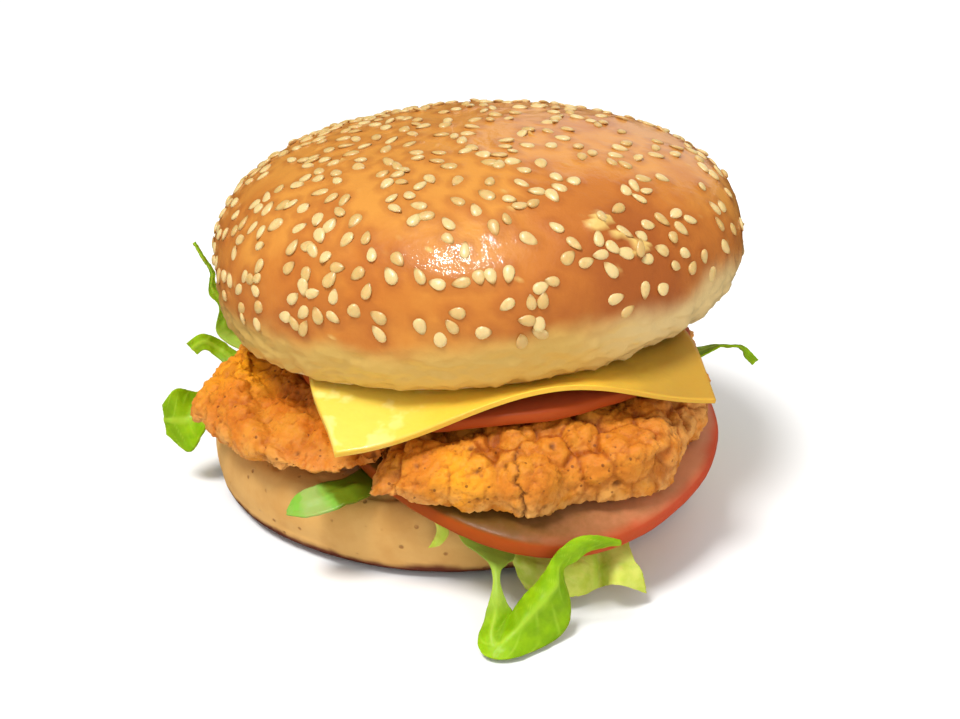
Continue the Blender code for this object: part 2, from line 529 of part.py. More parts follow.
# Each leaf: its colour, its steps (along, across), its ruffles' height in millimetres and its
# rows. The leaf is a smooth sheet through rows of points in millimetres, from its root between
# the heel and the fillings to its free end, and each row runs across it.
LEAVES = {
    "lettuce_front": (LEAF_GREEN, (30, 4), 0.0, (
        ((-1, -24, BED_MIDDLE), (1.5, -24, BED_MIDDLE), (4, -24, BED_MIDDLE)),
        ((-1, -43, BED_MIDDLE), (3, -43, BED_MIDDLE), (7, -43, BED_MIDDLE)),
        ((-1, -51, 17.6), (3.5, -51, 17.6), (8, -50.5, 17.6)),
        ((1.5, -56.5, 12.0), (6.5, -57.5, 11.6), (11.5, -58, 9.9)),
        ((4.5, -59, 10.6), (7.4, -60.2, 10.2), (10.4, -60.5, 9.1)),
        ((6.9, -61.5, 9.6), (8.0, -62.3, 9.4), (9.0, -62.5, 8.7)),
        ((7.7, -64, 7.8), (8.2, -64.5, 7.8), (8.8, -64.5, 7.4)),
        ((7.0, -67.5, 5.8), (8.3, -67.8, 6.0), (9.7, -67, 5.7)),
        ((5.9, -71.5, 3.5), (7.9, -71.2, 4.9), (10.6, -68.6, 4.9)),
        ((5.0, -76, 1.6), (7.2, -74.8, 3.2), (11.2, -69.3, 4.5)),
        ((7.8, -78.2, 0.8), (8.5, -76.2, 2.2), (11.6, -69.5, 5.7)),
        ((12.5, -77.2, 0.8), (11.3, -75, 4.2), (13.0, -69.3, 7.6)),
        ((18.3, -72.6, 1.0), (14.1, -73.2, 6.5), (14.4, -69, 8.9)),
        ((20.9, -70.2, 3.0), (16.6, -71.8, 9.0), (16.0, -68.5, 11.0)),
        ((21.3, -67.9, 6.0), (18.4, -70.3, 10.6), (17.2, -68.5, 13.3)),
        ((19.9, -67.5, 11.5), (19.0, -68.8, 13.4), (18.0, -68.5, 15.3)),
        ((22.1, -67.6, 14.2), (20.8, -69.1, 16.2), (19.5, -69, 17.6)),
        ((24.5, -67.5, 16.0), (23.2, -69.2, 18.2), (21.9, -69, 19.5)),
        ((27.0, -67.2, 16.8), (26.2, -68.5, 18.5), (25.4, -68.5, 19.7)),
        ((30.1, -66, 16.4), (30.0, -66.4, 16.9), (30.0, -66.5, 17.5)),
    )),
    "lettuce_front_pale": (LEAF_PALE, (9, 12), 0.0, (
        ((6, -22, BED_MIDDLE), (6.7, -21.8, BED_MIDDLE), (7.4, -21.6, BED_MIDDLE), (8.1, -21.3, BED_MIDDLE),
         (8.8, -21, BED_MIDDLE), (9.4, -20.5, BED_MIDDLE), (10, -20, BED_MIDDLE)),
        ((12, -43, BED_MIDDLE), (14.5, -42.2, BED_MIDDLE), (17, -41.3, BED_MIDDLE), (19.5, -40, BED_MIDDLE),
         (22, -38.6, BED_MIDDLE), (24, -37.3, BED_MIDDLE), (26, -36, BED_MIDDLE)),
        ((12.6, -51.2, 16.8), (16, -50.4, 16.8), (19.4, -49.3, 16.8), (22.8, -47.8, 16.8),
         (26, -46, 16.8), (29, -44.2, 16.8), (32, -42.5, 16.8)),
        ((10.9, -55.6, 9.0), (14.5, -57.2, 9.6), (18.5, -58.0, 9.8), (23.0, -57.3, 9.6),
         (27.2, -55.8, 8.5), (29.5, -57.5, 10.4), (33.0, -58, 10.2)),
        ((11.7, -57.4, 6.6), (15.3, -60.5, 8.0), (19.4, -61.5, 8.0), (23.6, -60, 7.4),
         (27.5, -57.2, 5.8), (29.9, -61, 8.4), (34.9, -59.5, 7.2)),
        ((14.0, -58.5, 2.3), (16.4, -61.5, 4.0), (19.3, -63, 3.5), (23.6, -61.5, 2.8),
         (27.6, -58, 2.2), (30.2, -62.5, 5.8), (35.9, -60, 2.3)),
    )),
    "lettuce_shred": (LEAF_PALE, (6, 2), 0.0, (
        ((-6, -42, BED_MIDDLE), (-3.5, -42, BED_MIDDLE)),
        ((-5, -50, 18.0), (-2.4, -50, 18.0)),
        ((-3.6, -54.0, 15.8), (-1.4, -54.4, 15.2)),
        ((-2.9, -55.1, 12.6), (-0.5, -55.2, 12.2)),
        ((-4.4, -55.2, 9.2), (-2.2, -55.2, 9.8)),
    )),
    "lettuce_front_left": (LEAF_GREEN, (10, 4), 0.0, (
        ((-9, -20, BED_MIDDLE), (-5, -22, BED_MIDDLE)),
        ((-16, -38, BED_MIDDLE), (-10, -43, BED_MIDDLE)),
        ((-20.4, -45.5, 18.6), (-15.6, -50.8, 17.9)),
        ((-24.9, -47.6, 18.5), (-21.4, -54.8, 17.2)),
        ((-28.6, -49.4, 17.6), (-26.8, -55.4, 15.8)),
        ((-30.6, -51.2, 15.6), (-30.8, -52.6, 14.6)),
    )),
    "lettuce_left": (LEAF_GREEN, (12, 4), 0.6, (
        ((-20, -1, BED_MIDDLE), (-20, -7, BED_MIDDLE)),
        ((-44, -1, BED_MIDDLE), (-43, -11, BED_MIDDLE)),
        ((-52, -2, 18.0), (-51.5, -13, 17.2)),
        ((-57.5, -5, 18.6), (-56, -14, 10.5)),
        ((-61, -8, 20.6), (-58.5, -13, 7.8)),
        ((-63.8, -10, 17.6), (-63, -12, 11.5)),
    )),
    "lettuce_rear_left": (LEAF_GREEN, (10, 4), 0.0, (
        ((-20, 5.5, BED_MIDDLE), (-20, 2, BED_MIDDLE)),
        ((-43, 13, BED_MIDDLE), (-44, 6, BED_MIDDLE)),
        ((-51, 16, 18.6), (-52, 10, 17.6)),
        ((-55, 16, 22.0), (-55.5, 13, 18.6)),
        ((-59.4, 14.5, 24.7), (-58.7, 13.5, 21.0)),
        ((-63.3, 14, 22.4), (-60.8, 13.5, 19.8)),
    )),
    "lettuce_rear_upright": (LEAF_GREEN, (14, 4), 0.0, (
        ((-16, 11, BED_MIDDLE), (-18.5, 8, BED_MIDDLE)),
        ((-39, 23, BED_MIDDLE), (-41.5, 17, BED_MIDDLE)),
        ((-48, 26, 18.2), (-50.5, 19.5, 18.2)),
        ((-53.6, 24.5, 21.8), (-57.8, 22.5, 21.6)),
        ((-53.8, 24, 27.5), (-57.0, 23.5, 28.0)),
        ((-57.3, 24, 33.6), (-59.2, 23.5, 31.4)),
        ((-57.4, 24, 36.4), (-58.6, 24, 36.2)),
        ((-59.0, 24, 39.6), (-59.8, 24, 39.2)),
        ((-61.4, 24, 44.0), (-62.0, 24, 43.6)),
    )),
    "lettuce_right": (LEAF_GREEN, (14, 4), 0.0, (
        ((18, 8, BED_MIDDLE), (20, 3, BED_MIDDLE)),
        ((42, 16, BED_MIDDLE), (44, 8, BED_MIDDLE)),
        ((50, 17, 18.4), (51.5, 9, 18.0)),
        ((55.6, 16, 20.4), (56.5, 10, 20.8)),
        ((60.8, 16, 21.2), (60.8, 11, 22.9)),
        ((64.5, 16, 21.2), (65.0, 12, 22.6)),
        ((67.6, 14.5, 21.0), (67.0, 13, 19.6)),
        ((70.7, 14.0, 18.2), (69.0, 13.5, 17.2)),
    )),
}


def make_leaf(name, colour, steps, ruffle, rows, collection):
    lines = [[Vector(point) * MM for point in line] for line in zip(*rows)]
    shape = bmesh.new()
    bmesh.ops.create_grid(
        shape, x_segments=steps[0], y_segments=steps[1], size=0.5)
    for vertex in shape.verts:
        out = vertex.co.x + 0.5
        side = vertex.co.y + 0.5
        point = on_curve([on_curve(line, out) for line in lines], side)
        wave = ruffle * MM * math.sin(math.tau * RUFFLES * side + RUFFLE_PHASE)
        point.z += wave * smooth_step(RUFFLE_START, 1.0, out)
        vertex.co = point
    leaf = add_object(name, shape, new_material(name, colour, 0.45), collection)
    thicken(leaf, LEAF_THICKNESS)


def make_lettuce(collection):
    for name, (colour, steps, ruffle, rows) in LEAVES.items():
        make_leaf(name, colour, steps, ruffle, rows, collection)


# ---------------------------------------------------------------- the burger

def main():
    for old in list(bpy.data.objects):
        bpy.data.objects.remove(old, do_unlink=True)
    burger = bpy.data.collections.new("chicken_burger")
    bpy.context.scene.collection.children.link(burger)
    make_bun(burger)
    make_lettuce(burger)
    make_tomatoes(burger)
    make_chicken(burger)
    make_cheese(burger)


main()
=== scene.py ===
"""The looks of a fried chicken burger in a sesame bun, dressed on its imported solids.

Metres, +Z up, the front towards -Y. The bun, tomatoes and cheese are smoothed copies of their
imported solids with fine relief, the chicken is remeshed and gets a craggy crust, each leaf is a
thin veined sheet through its solid's rows, and the sesame seeds are scattered over the crown.

A constant for a layer of noise holds (size of its bumps, octaves, height), as bumps() takes it.
One for a fade holds the two values between which smooth_step() goes from 0 to 1.
"""

import math
import random

import bmesh
import bpy
import numpy as np
from mathutils import Matrix, Vector, kdtree, noise


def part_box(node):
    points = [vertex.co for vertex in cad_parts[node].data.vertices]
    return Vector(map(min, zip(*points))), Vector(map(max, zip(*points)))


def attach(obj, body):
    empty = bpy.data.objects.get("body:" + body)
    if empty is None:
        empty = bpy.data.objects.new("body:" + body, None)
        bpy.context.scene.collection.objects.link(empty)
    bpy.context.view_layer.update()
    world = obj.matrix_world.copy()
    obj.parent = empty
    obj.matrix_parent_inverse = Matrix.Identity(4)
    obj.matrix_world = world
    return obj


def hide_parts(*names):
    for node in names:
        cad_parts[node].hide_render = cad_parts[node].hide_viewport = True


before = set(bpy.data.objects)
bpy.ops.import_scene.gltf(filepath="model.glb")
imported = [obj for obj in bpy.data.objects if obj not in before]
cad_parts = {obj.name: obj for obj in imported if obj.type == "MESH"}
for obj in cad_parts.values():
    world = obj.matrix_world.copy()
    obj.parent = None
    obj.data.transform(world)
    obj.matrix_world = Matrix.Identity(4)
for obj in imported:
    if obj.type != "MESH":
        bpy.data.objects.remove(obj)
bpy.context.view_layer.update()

MM = 0.001
WELD = 0.001 * MM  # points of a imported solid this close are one
QUAD_ANGLE = math.radians(50.0)  # two triangles that meet flatter than this are one face

# ---- colours, 0 to 255 as on a screen

CRUST_BAND = (204, 164, 84)
CRUST_CREAM = (216, 186, 126)
CRUST_GOLD = (212, 142, 58)
CRUST_AMBER = (190, 112, 42)
CRUST_BROWN = (162, 86, 34)
CRUMB_LIGHT = (220, 200, 160)
CRUMB_DARK = (200, 172, 122)
HEEL_TAN = (212, 164, 94)
HEEL_SHADE = (202, 150, 80)
HEEL_PORE = (150, 96, 48)
HEEL_EDGE = (104, 46, 26)
SEED_CREAM = (222, 194, 132)
SEED_TOASTED = (206, 168, 100)
SEED_TIP = (170, 122, 58)
SEED_PASTE = (222, 184, 104)
FRIED_GOLD = (212, 136, 40)
FRIED_PAINTED_LIGHT = (244, 162, 28)
FRIED_ORANGE = (198, 100, 18)
FRIED_SANDY_AND_BOUNCE = (224, 164, 88)
FRIED_BROWN = (128, 56, 14)
FRIED_CLEFT_BROWN_AND_SHADE = (156, 74, 8)
FRIED_SPECK_AND_SHADE = (98, 46, 14)
CHEESE_YELLOW = (236, 206, 84)
CHEESE_CREAM = (246, 226, 134)
CHEESE_GOLD_HALF_SHADE = (244, 194, 62)
CHEESE_MUSTARD_SHADE = (180, 140, 50)
CHEESE_EDGE_SHADE = (216, 172, 60)
TOMATO_OLIVE_SHADE = (108, 74, 28)
TOMATO_FLESH = (200, 130, 90)
TOMATO_SKIN_SHADE = (158, 70, 18)
TOMATO_ROSE = (190, 76, 46)
TOMATO_MAROON_SHADE = (140, 62, 38)
TOMATO_RUST_SHADE = (164, 70, 24)
LEAF_GREEN = (142, 182, 8)
LEAF_DEEP = (118, 158, 2)
LEAF_RIB = (178, 210, 64)
LEAF_STEM = (170, 196, 84)
LEAF_PALE = (212, 216, 102)
LEAF_PALE_DEEP = (184, 200, 66)
LEAF_MINT = (134, 176, 70)
LEAF_MINT_DEEP = (124, 180, 62)
LEAF_PAINTED_SHEEN = (156, 178, 98)
LEAF_ROOT_SHADE = (96, 114, 20)
FLOOR_WHITE = (250, 250, 248)
FLOOR_GREY = (246, 246, 246)


def linear(colour):
    """A screen colour as the linear colour with alpha that a shader takes."""
    parts = [part / 255.0 for part in colour]
    curve = [p / 12.92 if p <= 0.04045 else ((p + 0.055) / 1.055) ** 2.4 for p in parts]
    return (*curve, 1.0)


# ---- shape helpers

def smooth_step(start, end, value):
    """0 up to start, 1 from end on and a smooth rise between."""
    share = min(max((value - start) / (end - start), 0.0), 1.0)
    return share * share * (3.0 - 2.0 * share)


def mix(first, second, share):
    return first + (second - first) * share


def clamp(value):
    return min(max(value, 0.0), 1.0)


def on_curve(points, position):
    """A point of the smooth curve through points, where position runs from 0 to 1."""
    place = position * (len(points) - 1)
    index = min(int(place), len(points) - 2)
    share = place - index
    before = points[max(index - 1, 0)]
    start = points[index]
    end = points[index + 1]
    after = points[min(index + 2, len(points) - 1)]
    return 0.5 * (
        2.0 * start
        + (end - before) * share
        + (2.0 * before - 5.0 * start + 4.0 * end - after) * share ** 2
        + (3.0 * start - before - 3.0 * end + after) * share ** 3
    )


def rough(point, size, octaves=3):
    """Noise of about -1 to 1 with bumps of this size."""
    return noise.fractal(point / size, 1.0, 2.0, octaves)


def bumps(point, *layers):
    """Height at a point of these layers of noise."""
    return sum(rough(point, size, octaves) * height for size, octaves, height in layers)


def packed(node):
    """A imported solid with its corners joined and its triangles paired."""
    shape = bmesh.new()
    shape.from_mesh(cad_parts[node].data)
    bmesh.ops.remove_doubles(shape, verts=shape.verts, dist=WELD)
    bmesh.ops.join_triangles(
        shape, faces=shape.faces, angle_face_threshold=QUAD_ANGLE,
        angle_shape_threshold=math.pi)
    return shape


def evaluated(shape, *modifiers):
    """The mesh of a bmesh after these modifiers, each (type, settings)."""
    mesh = bpy.data.meshes.new("step")
    shape.to_mesh(mesh)
    shape.free()
    holder = bpy.data.objects.new("step", mesh)
    bpy.context.scene.collection.objects.link(holder)
    for kind, settings in modifiers:
        modifier = holder.modifiers.new(kind, kind)
        for name, value in settings.items():
            setattr(modifier, name, value)
    graph = bpy.context.evaluated_depsgraph_get()
    result = bpy.data.meshes.new_from_object(holder.evaluated_get(graph))
    bpy.data.objects.remove(holder, do_unlink=True)
    bpy.data.meshes.remove(mesh)
    return result


def smoothed(shape, levels, crease_angle=None):
    """A subdivided copy, whose edges sharper than crease_angle stay sharp."""
    if crease_angle is not None:
        crease = shape.edges.layers.float.new("crease_edge")
        for edge in shape.edges:
            if len(edge.link_faces) == 2 and edge.calc_face_angle() > crease_angle:
                edge[crease] = 1.0
    return evaluated(shape, ("SUBSURF", {"levels": levels, "render_levels": levels}))


def remeshed(shape, size):
    """A copy made of even quads of this size."""
    return evaluated(
        shape, ("REMESH", {"mode": "VOXEL", "voxel_size": size, "use_smooth_shade": True}))


def add_tone(mesh, name, values):
    """Numbers from 0 to 1, one for each point, which shaders read."""
    layer = mesh.attributes.new(name, "FLOAT", "POINT")
    layer.data.foreach_set("value", np.array(values, np.float32))


def relieve(mesh, relief):
    """Moves each point along its normal, and gives it tones.

    relief(point, normal) gives both: the height to move by, and the tones by name. All of it is
    read before any point moves.
    """
    places = []
    tones = {}
    for vertex in mesh.vertices:
        height, tone = relief(vertex.co, vertex.normal)
        places.append(vertex.co + vertex.normal * height)
        for name, value in tone.items():
            tones.setdefault(name, []).append(value)
    mesh.vertices.foreach_set("co", np.array(places, np.float32).ravel())
    for name, values in tones.items():
        add_tone(mesh, name, values)
    mesh.update()
    return mesh


def add_piece(name, mesh, material, slot, *nodes):
    """A piece of the burger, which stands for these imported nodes."""
    mesh.name = name
    mesh.materials.clear()
    mesh.materials.append(material)
    mesh.shade_smooth()
    piece = bpy.data.objects.new(name, mesh)
    bpy.context.scene.collection.objects.link(piece)
    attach(piece, "root")
    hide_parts(*nodes)
    return piece


# ---- shader helpers

class Look:
    """A Principled material and the nodes that feed it."""

    def __init__(self, name, **settings):
        self.material = bpy.data.materials.new(name)
        self.material.use_nodes = True
        self.tree = self.material.node_tree
        self.shader = self.tree.nodes["Principled BSDF"]
        self.set(self.shader, settings)
        self.place = self.add("ShaderNodeTexCoord").outputs["Object"]

    def put(self, socket, value):
        """Feeds a socket from another one, or with a value."""
        if isinstance(value, bpy.types.NodeSocket):
            self.tree.links.new(value, socket)
        else:
            socket.default_value = value

    def set(self, node, values):
        for name, value in values.items():
            self.put(node.inputs[name.replace("_", " ")], value)

    def add(self, kind, setup=None, **values):
        node = self.tree.nodes.new(kind)
        for name, value in (setup or {}).items():
            setattr(node, name, value)
        self.set(node, values)
        return node

    def tone(self, name):
        """What add_tone gave the mesh."""
        return self.add("ShaderNodeAttribute", {"attribute_name": name}).outputs["Fac"]

    def noise(self, size, detail=4.0, roughness=0.55):
        """Noise from 0 to 1 with bumps of this size."""
        node = self.add(
            "ShaderNodeTexNoise", Vector=self.place, Scale=1.0 / size, Detail=detail,
            Roughness=roughness)
        return node.outputs["Fac"]

    def cells(self, size):
        """Distance from the nearest of many scattered points, in shares of this size."""
        node = self.add("ShaderNodeTexVoronoi", Vector=self.place, Scale=1.0 / size)
        return node.outputs["Distance"]

    def math(self, operation, *values):
        node = self.add("ShaderNodeMath", {"operation": operation})
        for socket, value in zip(node.inputs, values):
            self.put(socket, value)
        return node.outputs[0]

    def part(self, value, share):
        """This share of a value."""
        return self.math("MULTIPLY", value, share)

    def mottled(self, tone, pattern, share):
        """A tone plus this share of a pattern."""
        return self.math("MULTIPLY_ADD", pattern, share, self.tone(tone))

    def between(self, value, low, high):
        """0 where value is low, 1 where it is high and a smooth rise between."""
        node = self.add(
            "ShaderNodeMapRange", {"interpolation_type": "SMOOTHSTEP"}, Value=value,
            From_Min=low, From_Max=high)
        return node.outputs["Result"]

    def blend(self, share, first, second):
        """A colour between two, which are screen colours or sockets."""
        node = self.add("ShaderNodeMix", {"data_type": "RGBA"})
        self.put(node.inputs[0], share)
        for index, colour in ((6, first), (7, second)):
            self.put(node.inputs[index], linear(colour) if isinstance(colour, tuple) else colour)
        return node.outputs[2]

    def colour(self, colour):
        self.put(self.shader.inputs["Base Color"], colour)

    def bump(self, *layers):
        """Adds the bumps of each (height, depth in metres, strength) to the surface's normal."""
        normal = None
        for height, distance, strength in layers:
            node = self.add("ShaderNodeBump", Height=height, Distance=distance, Strength=strength)
            if normal is not None:
                self.put(node.inputs["Normal"], normal)
            normal = node.outputs["Normal"]
        for name in ("Normal", "Coat Normal"):
            self.put(self.shader.inputs[name], normal)


# ---- the bun

BUN_LEVELS = 3  # of subdivision
CROWN_LOW, CROWN_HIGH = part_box("bun_crown")
CROWN_MIDDLE = (CROWN_LOW + CROWN_HIGH) / 2.0
CROWN_HALF = (CROWN_HIGH.x - CROWN_LOW.x) / 2.0
CUT_HEIGHT = 40.2 * MM  # of the crown's cut face under its middle
CUT_SLOPE = math.tan(math.radians(3.4))
BAND_LOW = 5.0 * MM  # the pale band ends between these heights above the cut face
BAND_HIGH = 13.5 * MM
BAND_RIGHT_RISE = 5.0 * MM  # of BAND_HIGH on the right
RIGHT_FADE = (-0.5, 1.0)  # from the crown's middle, in shares of half its width
UNDER_FADE = (-0.85, -0.97)  # of the normal's z: where its side turns to its cut face,
STEEP_SHADE_FADE = (0.85, 0.5)  # where it is steep, to be painted with shade,
TOP_LIGHT_FADE = (0.8, 0.97)  # and where it is level, to be painted with light
BAND_WAVES = (12.0 * MM, 3, 2.2 * MM)  # in the height at which the band ends
BAND_LUMPS = ((5.0 * MM, 4, 0.8 * MM), (1.8 * MM, 2, 0.35 * MM))
CROWN_SWELL = (26.0 * MM, 2, 0.45 * MM)
BROWN_SHARES = {  # how brown each cause makes the crust, from 0 to 1; the steep sides get painted shade and the level top, at a share below 0, painted light
    "all": 0.18, "right": 0.1, "baked": 0.6, "patches": 0.3, "steep_shade": 0.08, "top": -0.2}
BROWN_PATCH = 18.0 * MM
BAKED_PLACE = Vector((30.0, -44.0, 61.0)) * MM  # middle of the brownest part
BAKED_REACH = 33.0 * MM
PASTES = (  # middle and reach of the specks of pale seed paste on the glaze
    (Vector((26.5, -41.3, 68.0)) * MM, 4.6 * MM), (Vector((30.5, -42.1, 65.9)) * MM, 2.6 * MM),
    (Vector((34.0, -42.3, 64.0)) * MM, 3.4 * MM))
PASTE_EDGE = (2.0 * MM, 3, 0.5)  # how ragged a speck's edge is, in shares of its reach
PASTE_FADE = (0.4, 0.55)
PASTE_HEIGHT = 0.6 * MM
PASTE_LUMPS = (1.2 * MM, 3, 0.5 * MM)
CRUMB_PORE = 2.6 * MM  # size of the pores in the bun's cut faces
PORE_FADE = (0.25, 0.7)
CROWN_PORE_DEPTH = 0.8 * MM
HEEL_PORE_DEPTH = 0.9 * MM


def cut_height(point):
    """Height of a point above the crown's tilted cut face."""
    return point.z - CUT_HEIGHT - CUT_SLOPE * (point.x - CROWN_MIDDLE.x)


def pored(point):
    """How deep in a pore of a cut face a point is, from 0 to 1."""
    return smooth_step(*PORE_FADE, rough(point, CRUMB_PORE, 2))


def crown_relief(point, normal):
    """The crown's pale low band, its browned crust with painted shade on its steep sides and
    painted light on its level top, the specks of paste and its cut face.
    """
    above = cut_height(point) + bumps(point, BAND_WAVES)
    right = smooth_step(*RIGHT_FADE, (point.x - CROWN_MIDDLE.x) / CROWN_HALF)
    band = smooth_step(BAND_LOW, BAND_HIGH + BAND_RIGHT_RISE * right, above)
    under = smooth_step(*UNDER_FADE, normal.z)
    side = (1.0 - band) * (1.0 - under)
    causes = {
        "all": 1.0,
        "right": right,
        "baked": smooth_step(BAKED_REACH, 0.0, (point - BAKED_PLACE).length),
        "patches": rough(point, BROWN_PATCH),
        "steep_shade": smooth_step(*STEEP_SHADE_FADE, normal.z),
        "top": smooth_step(*TOP_LIGHT_FADE, normal.z),
    }
    brown = sum(share * causes[cause] for cause, share in BROWN_SHARES.items())
    paste = max(smooth_step(reach, 0.0, (point - place).length) for place, reach in PASTES)
    paste = smooth_step(*PASTE_FADE, paste + bumps(point, PASTE_EDGE))
    height = band * bumps(point, CROWN_SWELL) + side * bumps(point, *BAND_LUMPS)
    height += paste * (PASTE_HEIGHT + bumps(point, PASTE_LUMPS))
    height -= under * CROWN_PORE_DEPTH * pored(point)
    return height, {
        "band": band, "crumb": under, "brown": clamp(brown), "paste": paste, "right": right}


def crumb_colours(look):
    """The colours of the bun's cut faces."""
    light = look.between(look.noise(1.4 * MM, 3.0), 0.35, 0.65)
    return look.blend(light, CRUMB_DARK, CRUMB_LIGHT)


def crown_look():
    look = Look("crown_crust", Roughness=0.45, Specular_IOR_Level=0.2, Coat_Weight=0.5,
                Coat_Roughness=0.055)
    patches = look.noise(8.0 * MM, 6.0)
    brown = look.mottled("brown", patches, 0.5)
    crust = look.blend(look.between(brown, 0.25, 0.7), CRUST_GOLD, CRUST_AMBER)
    crust = look.blend(look.between(brown, 0.65, 1.25), crust, CRUST_BROWN)
    crust = look.blend(look.part(look.tone("seat"), 0.4), crust, CRUST_BROWN)
    edge = look.mottled("band", patches, 0.35)
    band = look.blend(look.between(look.tone("right"), 0.5, 0.85), CRUST_BAND, CRUST_CREAM)
    crust = look.blend(look.between(edge, 0.25, 1.05), band, crust)
    crust = look.blend(look.tone("paste"), crust, SEED_PASTE)
    look.colour(look.blend(look.tone("crumb"), crust, crumb_colours(look)))
    look.bump(
        (look.noise(4.0 * MM, 3.0), 0.4 * MM, 0.4),
        (look.noise(1.1 * MM, 3.0), 0.15 * MM, 0.5),
        (look.noise(0.45 * MM, 2.0), 0.05 * MM, 0.5))
    return look.material


CRUMB_RADIUS = 46.0 * MM  # of the heel's cut face that shows crumb
CRUMB_BORDER = 3.0 * MM
HEEL_TOP_FADE = (0.8, 0.95)  # of the normal's z
HEEL_SIDE_FADE = (0.0, 3.0 * MM)  # of the height, over which the side's relief grows
HEEL_SWELL = (22.0 * MM, 2, 0.4 * MM)
HEEL_SKIN = (3.0 * MM, 4, 0.1 * MM)
EDGE_FADE = (3.9 * MM, 2.7 * MM)  # of the height, where the base's dark baked edge ends
EDGE_WAVES = (5.0 * MM, 3, 0.6 * MM)
LIP = 0.7 * MM  # the baked edge stands out this far
LIP_FADE = (5.0 * MM, 2.0 * MM)  # of the height
LIP_UNDER_FADE = (-0.95, -0.75)  # of the normal's z
BASE_HIGH = 0.5 * MM  # what is lower than this stays flat


def heel_relief(point, normal):
    """The heel's baked edge with its lip, its uneven side and its cut face."""
    if point.z < BASE_HIGH:
        return 0.0, {"crumb": 0.0, "edge": 1.0}
    top = smooth_step(*HEEL_TOP_FADE, normal.z)
    out = math.hypot(point.x, point.y)
    crumb = top * smooth_step(CRUMB_RADIUS, CRUMB_RADIUS - CRUMB_BORDER, out)
    edge = smooth_step(*EDGE_FADE, point.z + bumps(point, EDGE_WAVES))
    height = bumps(point, HEEL_SWELL, HEEL_SKIN)
    height *= (1.0 - top) * smooth_step(*HEEL_SIDE_FADE, point.z)
    height -= top * HEEL_PORE_DEPTH * pored(point)
    height += LIP * smooth_step(*LIP_FADE, point.z) * smooth_step(*LIP_UNDER_FADE, normal.z)
    return height, {"crumb": crumb, "edge": edge}


def heel_look():
    look = Look("heel_crust", Roughness=0.6, Specular_IOR_Level=0.2)
    tan = look.blend(look.between(look.noise(10.0 * MM, 5.0), 0.35, 0.68), HEEL_TAN, HEEL_SHADE)
    spots = look.between(look.cells(3.4 * MM), 0.17, 0.06)
    few = look.between(look.noise(7.0 * MM, 2.0), 0.4, 0.5)
    pores = look.part(spots, few)
    tan = look.blend(look.part(pores, 0.75), tan, HEEL_PORE)
    tan = look.blend(look.tone("edge"), tan, HEEL_EDGE)
    look.colour(look.blend(look.tone("crumb"), tan, crumb_colours(look)))
    look.bump(
        (look.noise(1.5 * MM, 4.0), 0.2 * MM, 0.45),
        (look.part(pores, -1.0), 0.4 * MM, 0.6))
    return look.material


def make_bun():
    crown = relieve(smoothed(packed("bun_crown"), BUN_LEVELS), crown_relief)
    places = seed_places(crown)
    seat_seeds(crown, places)
    add_piece("crown", crown, crown_look(), "bun_crust", "bun_crown")
    make_seeds(places)
    heel = relieve(smoothed(packed("bun_heel"), BUN_LEVELS), heel_relief)
    add_piece("heel", heel, heel_look(), "bun_heel", "bun_heel")


# ---- sesame seeds

PLACES_DRAW = 11  # starts the random draws of the seeds' places
SHAPES_DRAW = 23  # and of their shapes
SEED_COUNT = 580
SEED_LENGTH = 3.5 * MM
SEED_WIDTH = 2.1 * MM
SEED_DEPTH = 0.85 * MM
SEED_VARIES = ((0.82, 1.1), (0.85, 1.12), (0.85, 1.2))  # shares of these sizes, from and to
SEED_TAPER = (0.34, 0.1)  # towards its tip, straight and squared
SEED_TILT = (0.1, 0.14)  # spread of its tilt along and across, in radians
SEED_UP = (0.1, 0.3)  # its middle is this share of its depth above the crust, from and to
SEED_APART = 3.0 * MM
SEED_TOUCH = 1.9 * MM  # seeds of a clump are this far apart
CLUMP_SHARE = 0.35  # of the other seeds may lie as close
CLUMPS = (  # x, y and reach in millimetres of the places where seeds lie crowded
    (27.5, -41.4, 3.6), (32.6, -42.4, 3.4), (14.0, -53.0, 2.2), (28.5, -23.0, 4.5),
    (-8.0, -24.0, 5.0), (-29.0, -22.0, 5.0), (-36.0, -34.0, 4.5), (20.0, -47.0, 3.0),
)
SEED_LOW = 9.0 * MM  # no seeds lower than this above the cut face
SEED_FULL = 14.5 * MM  # no fewer seeds above this
SEED_CHANCES = (0.3, 0.55, 0.25, 0.25)  # everywhere, then what left, level and back add
LEFT_FADE = (25.0 * MM, -35.0 * MM)  # of x from the crown's middle
LEVEL_FADE = (0.1, 0.9)  # of the normal's z
BACK_FADE = (-20.0 * MM, 10.0 * MM)  # of y
SPARSE = 10.0 * MM  # size of the patches with fewer seeds
SPARSE_FADE = (-0.3, 0.3)
SPARSE_SHARE = 0.35  # of the seeds is left there
SEED_MESH = (14, 8)  # sides round, rings
SEAT_NEAR = 1.3 * MM  # the crust round a seed is painted darker and rises between these distances
SEAT_FAR = 2.4 * MM
SEAT_RISE = 0.12 * MM
SEAT_REACH = 0.28  # of a seed's length, to each side of its middle


def clumped(point):
    """Whether a point is where seeds lie crowded."""
    return any(
        math.hypot(point.x - x * MM, point.y - y * MM) < reach * MM for x, y, reach in CLUMPS)


def seed_density(point, normal):
    """Chance from 0 to 1 that a seed that falls here stays."""
    fades = (
        1.0,
        smooth_step(*LEFT_FADE, point.x - CROWN_MIDDLE.x),
        smooth_step(*LEVEL_FADE, normal.z),
        smooth_step(*BACK_FADE, point.y),
    )
    chance = sum(share * fade for share, fade in zip(SEED_CHANCES, fades))
    patchy = mix(SPARSE_SHARE, 1.0, smooth_step(*SPARSE_FADE, rough(point, SPARSE, 2)))
    return patchy * smooth_step(SEED_LOW, SEED_FULL, cut_height(point)) * min(chance, 1.0)


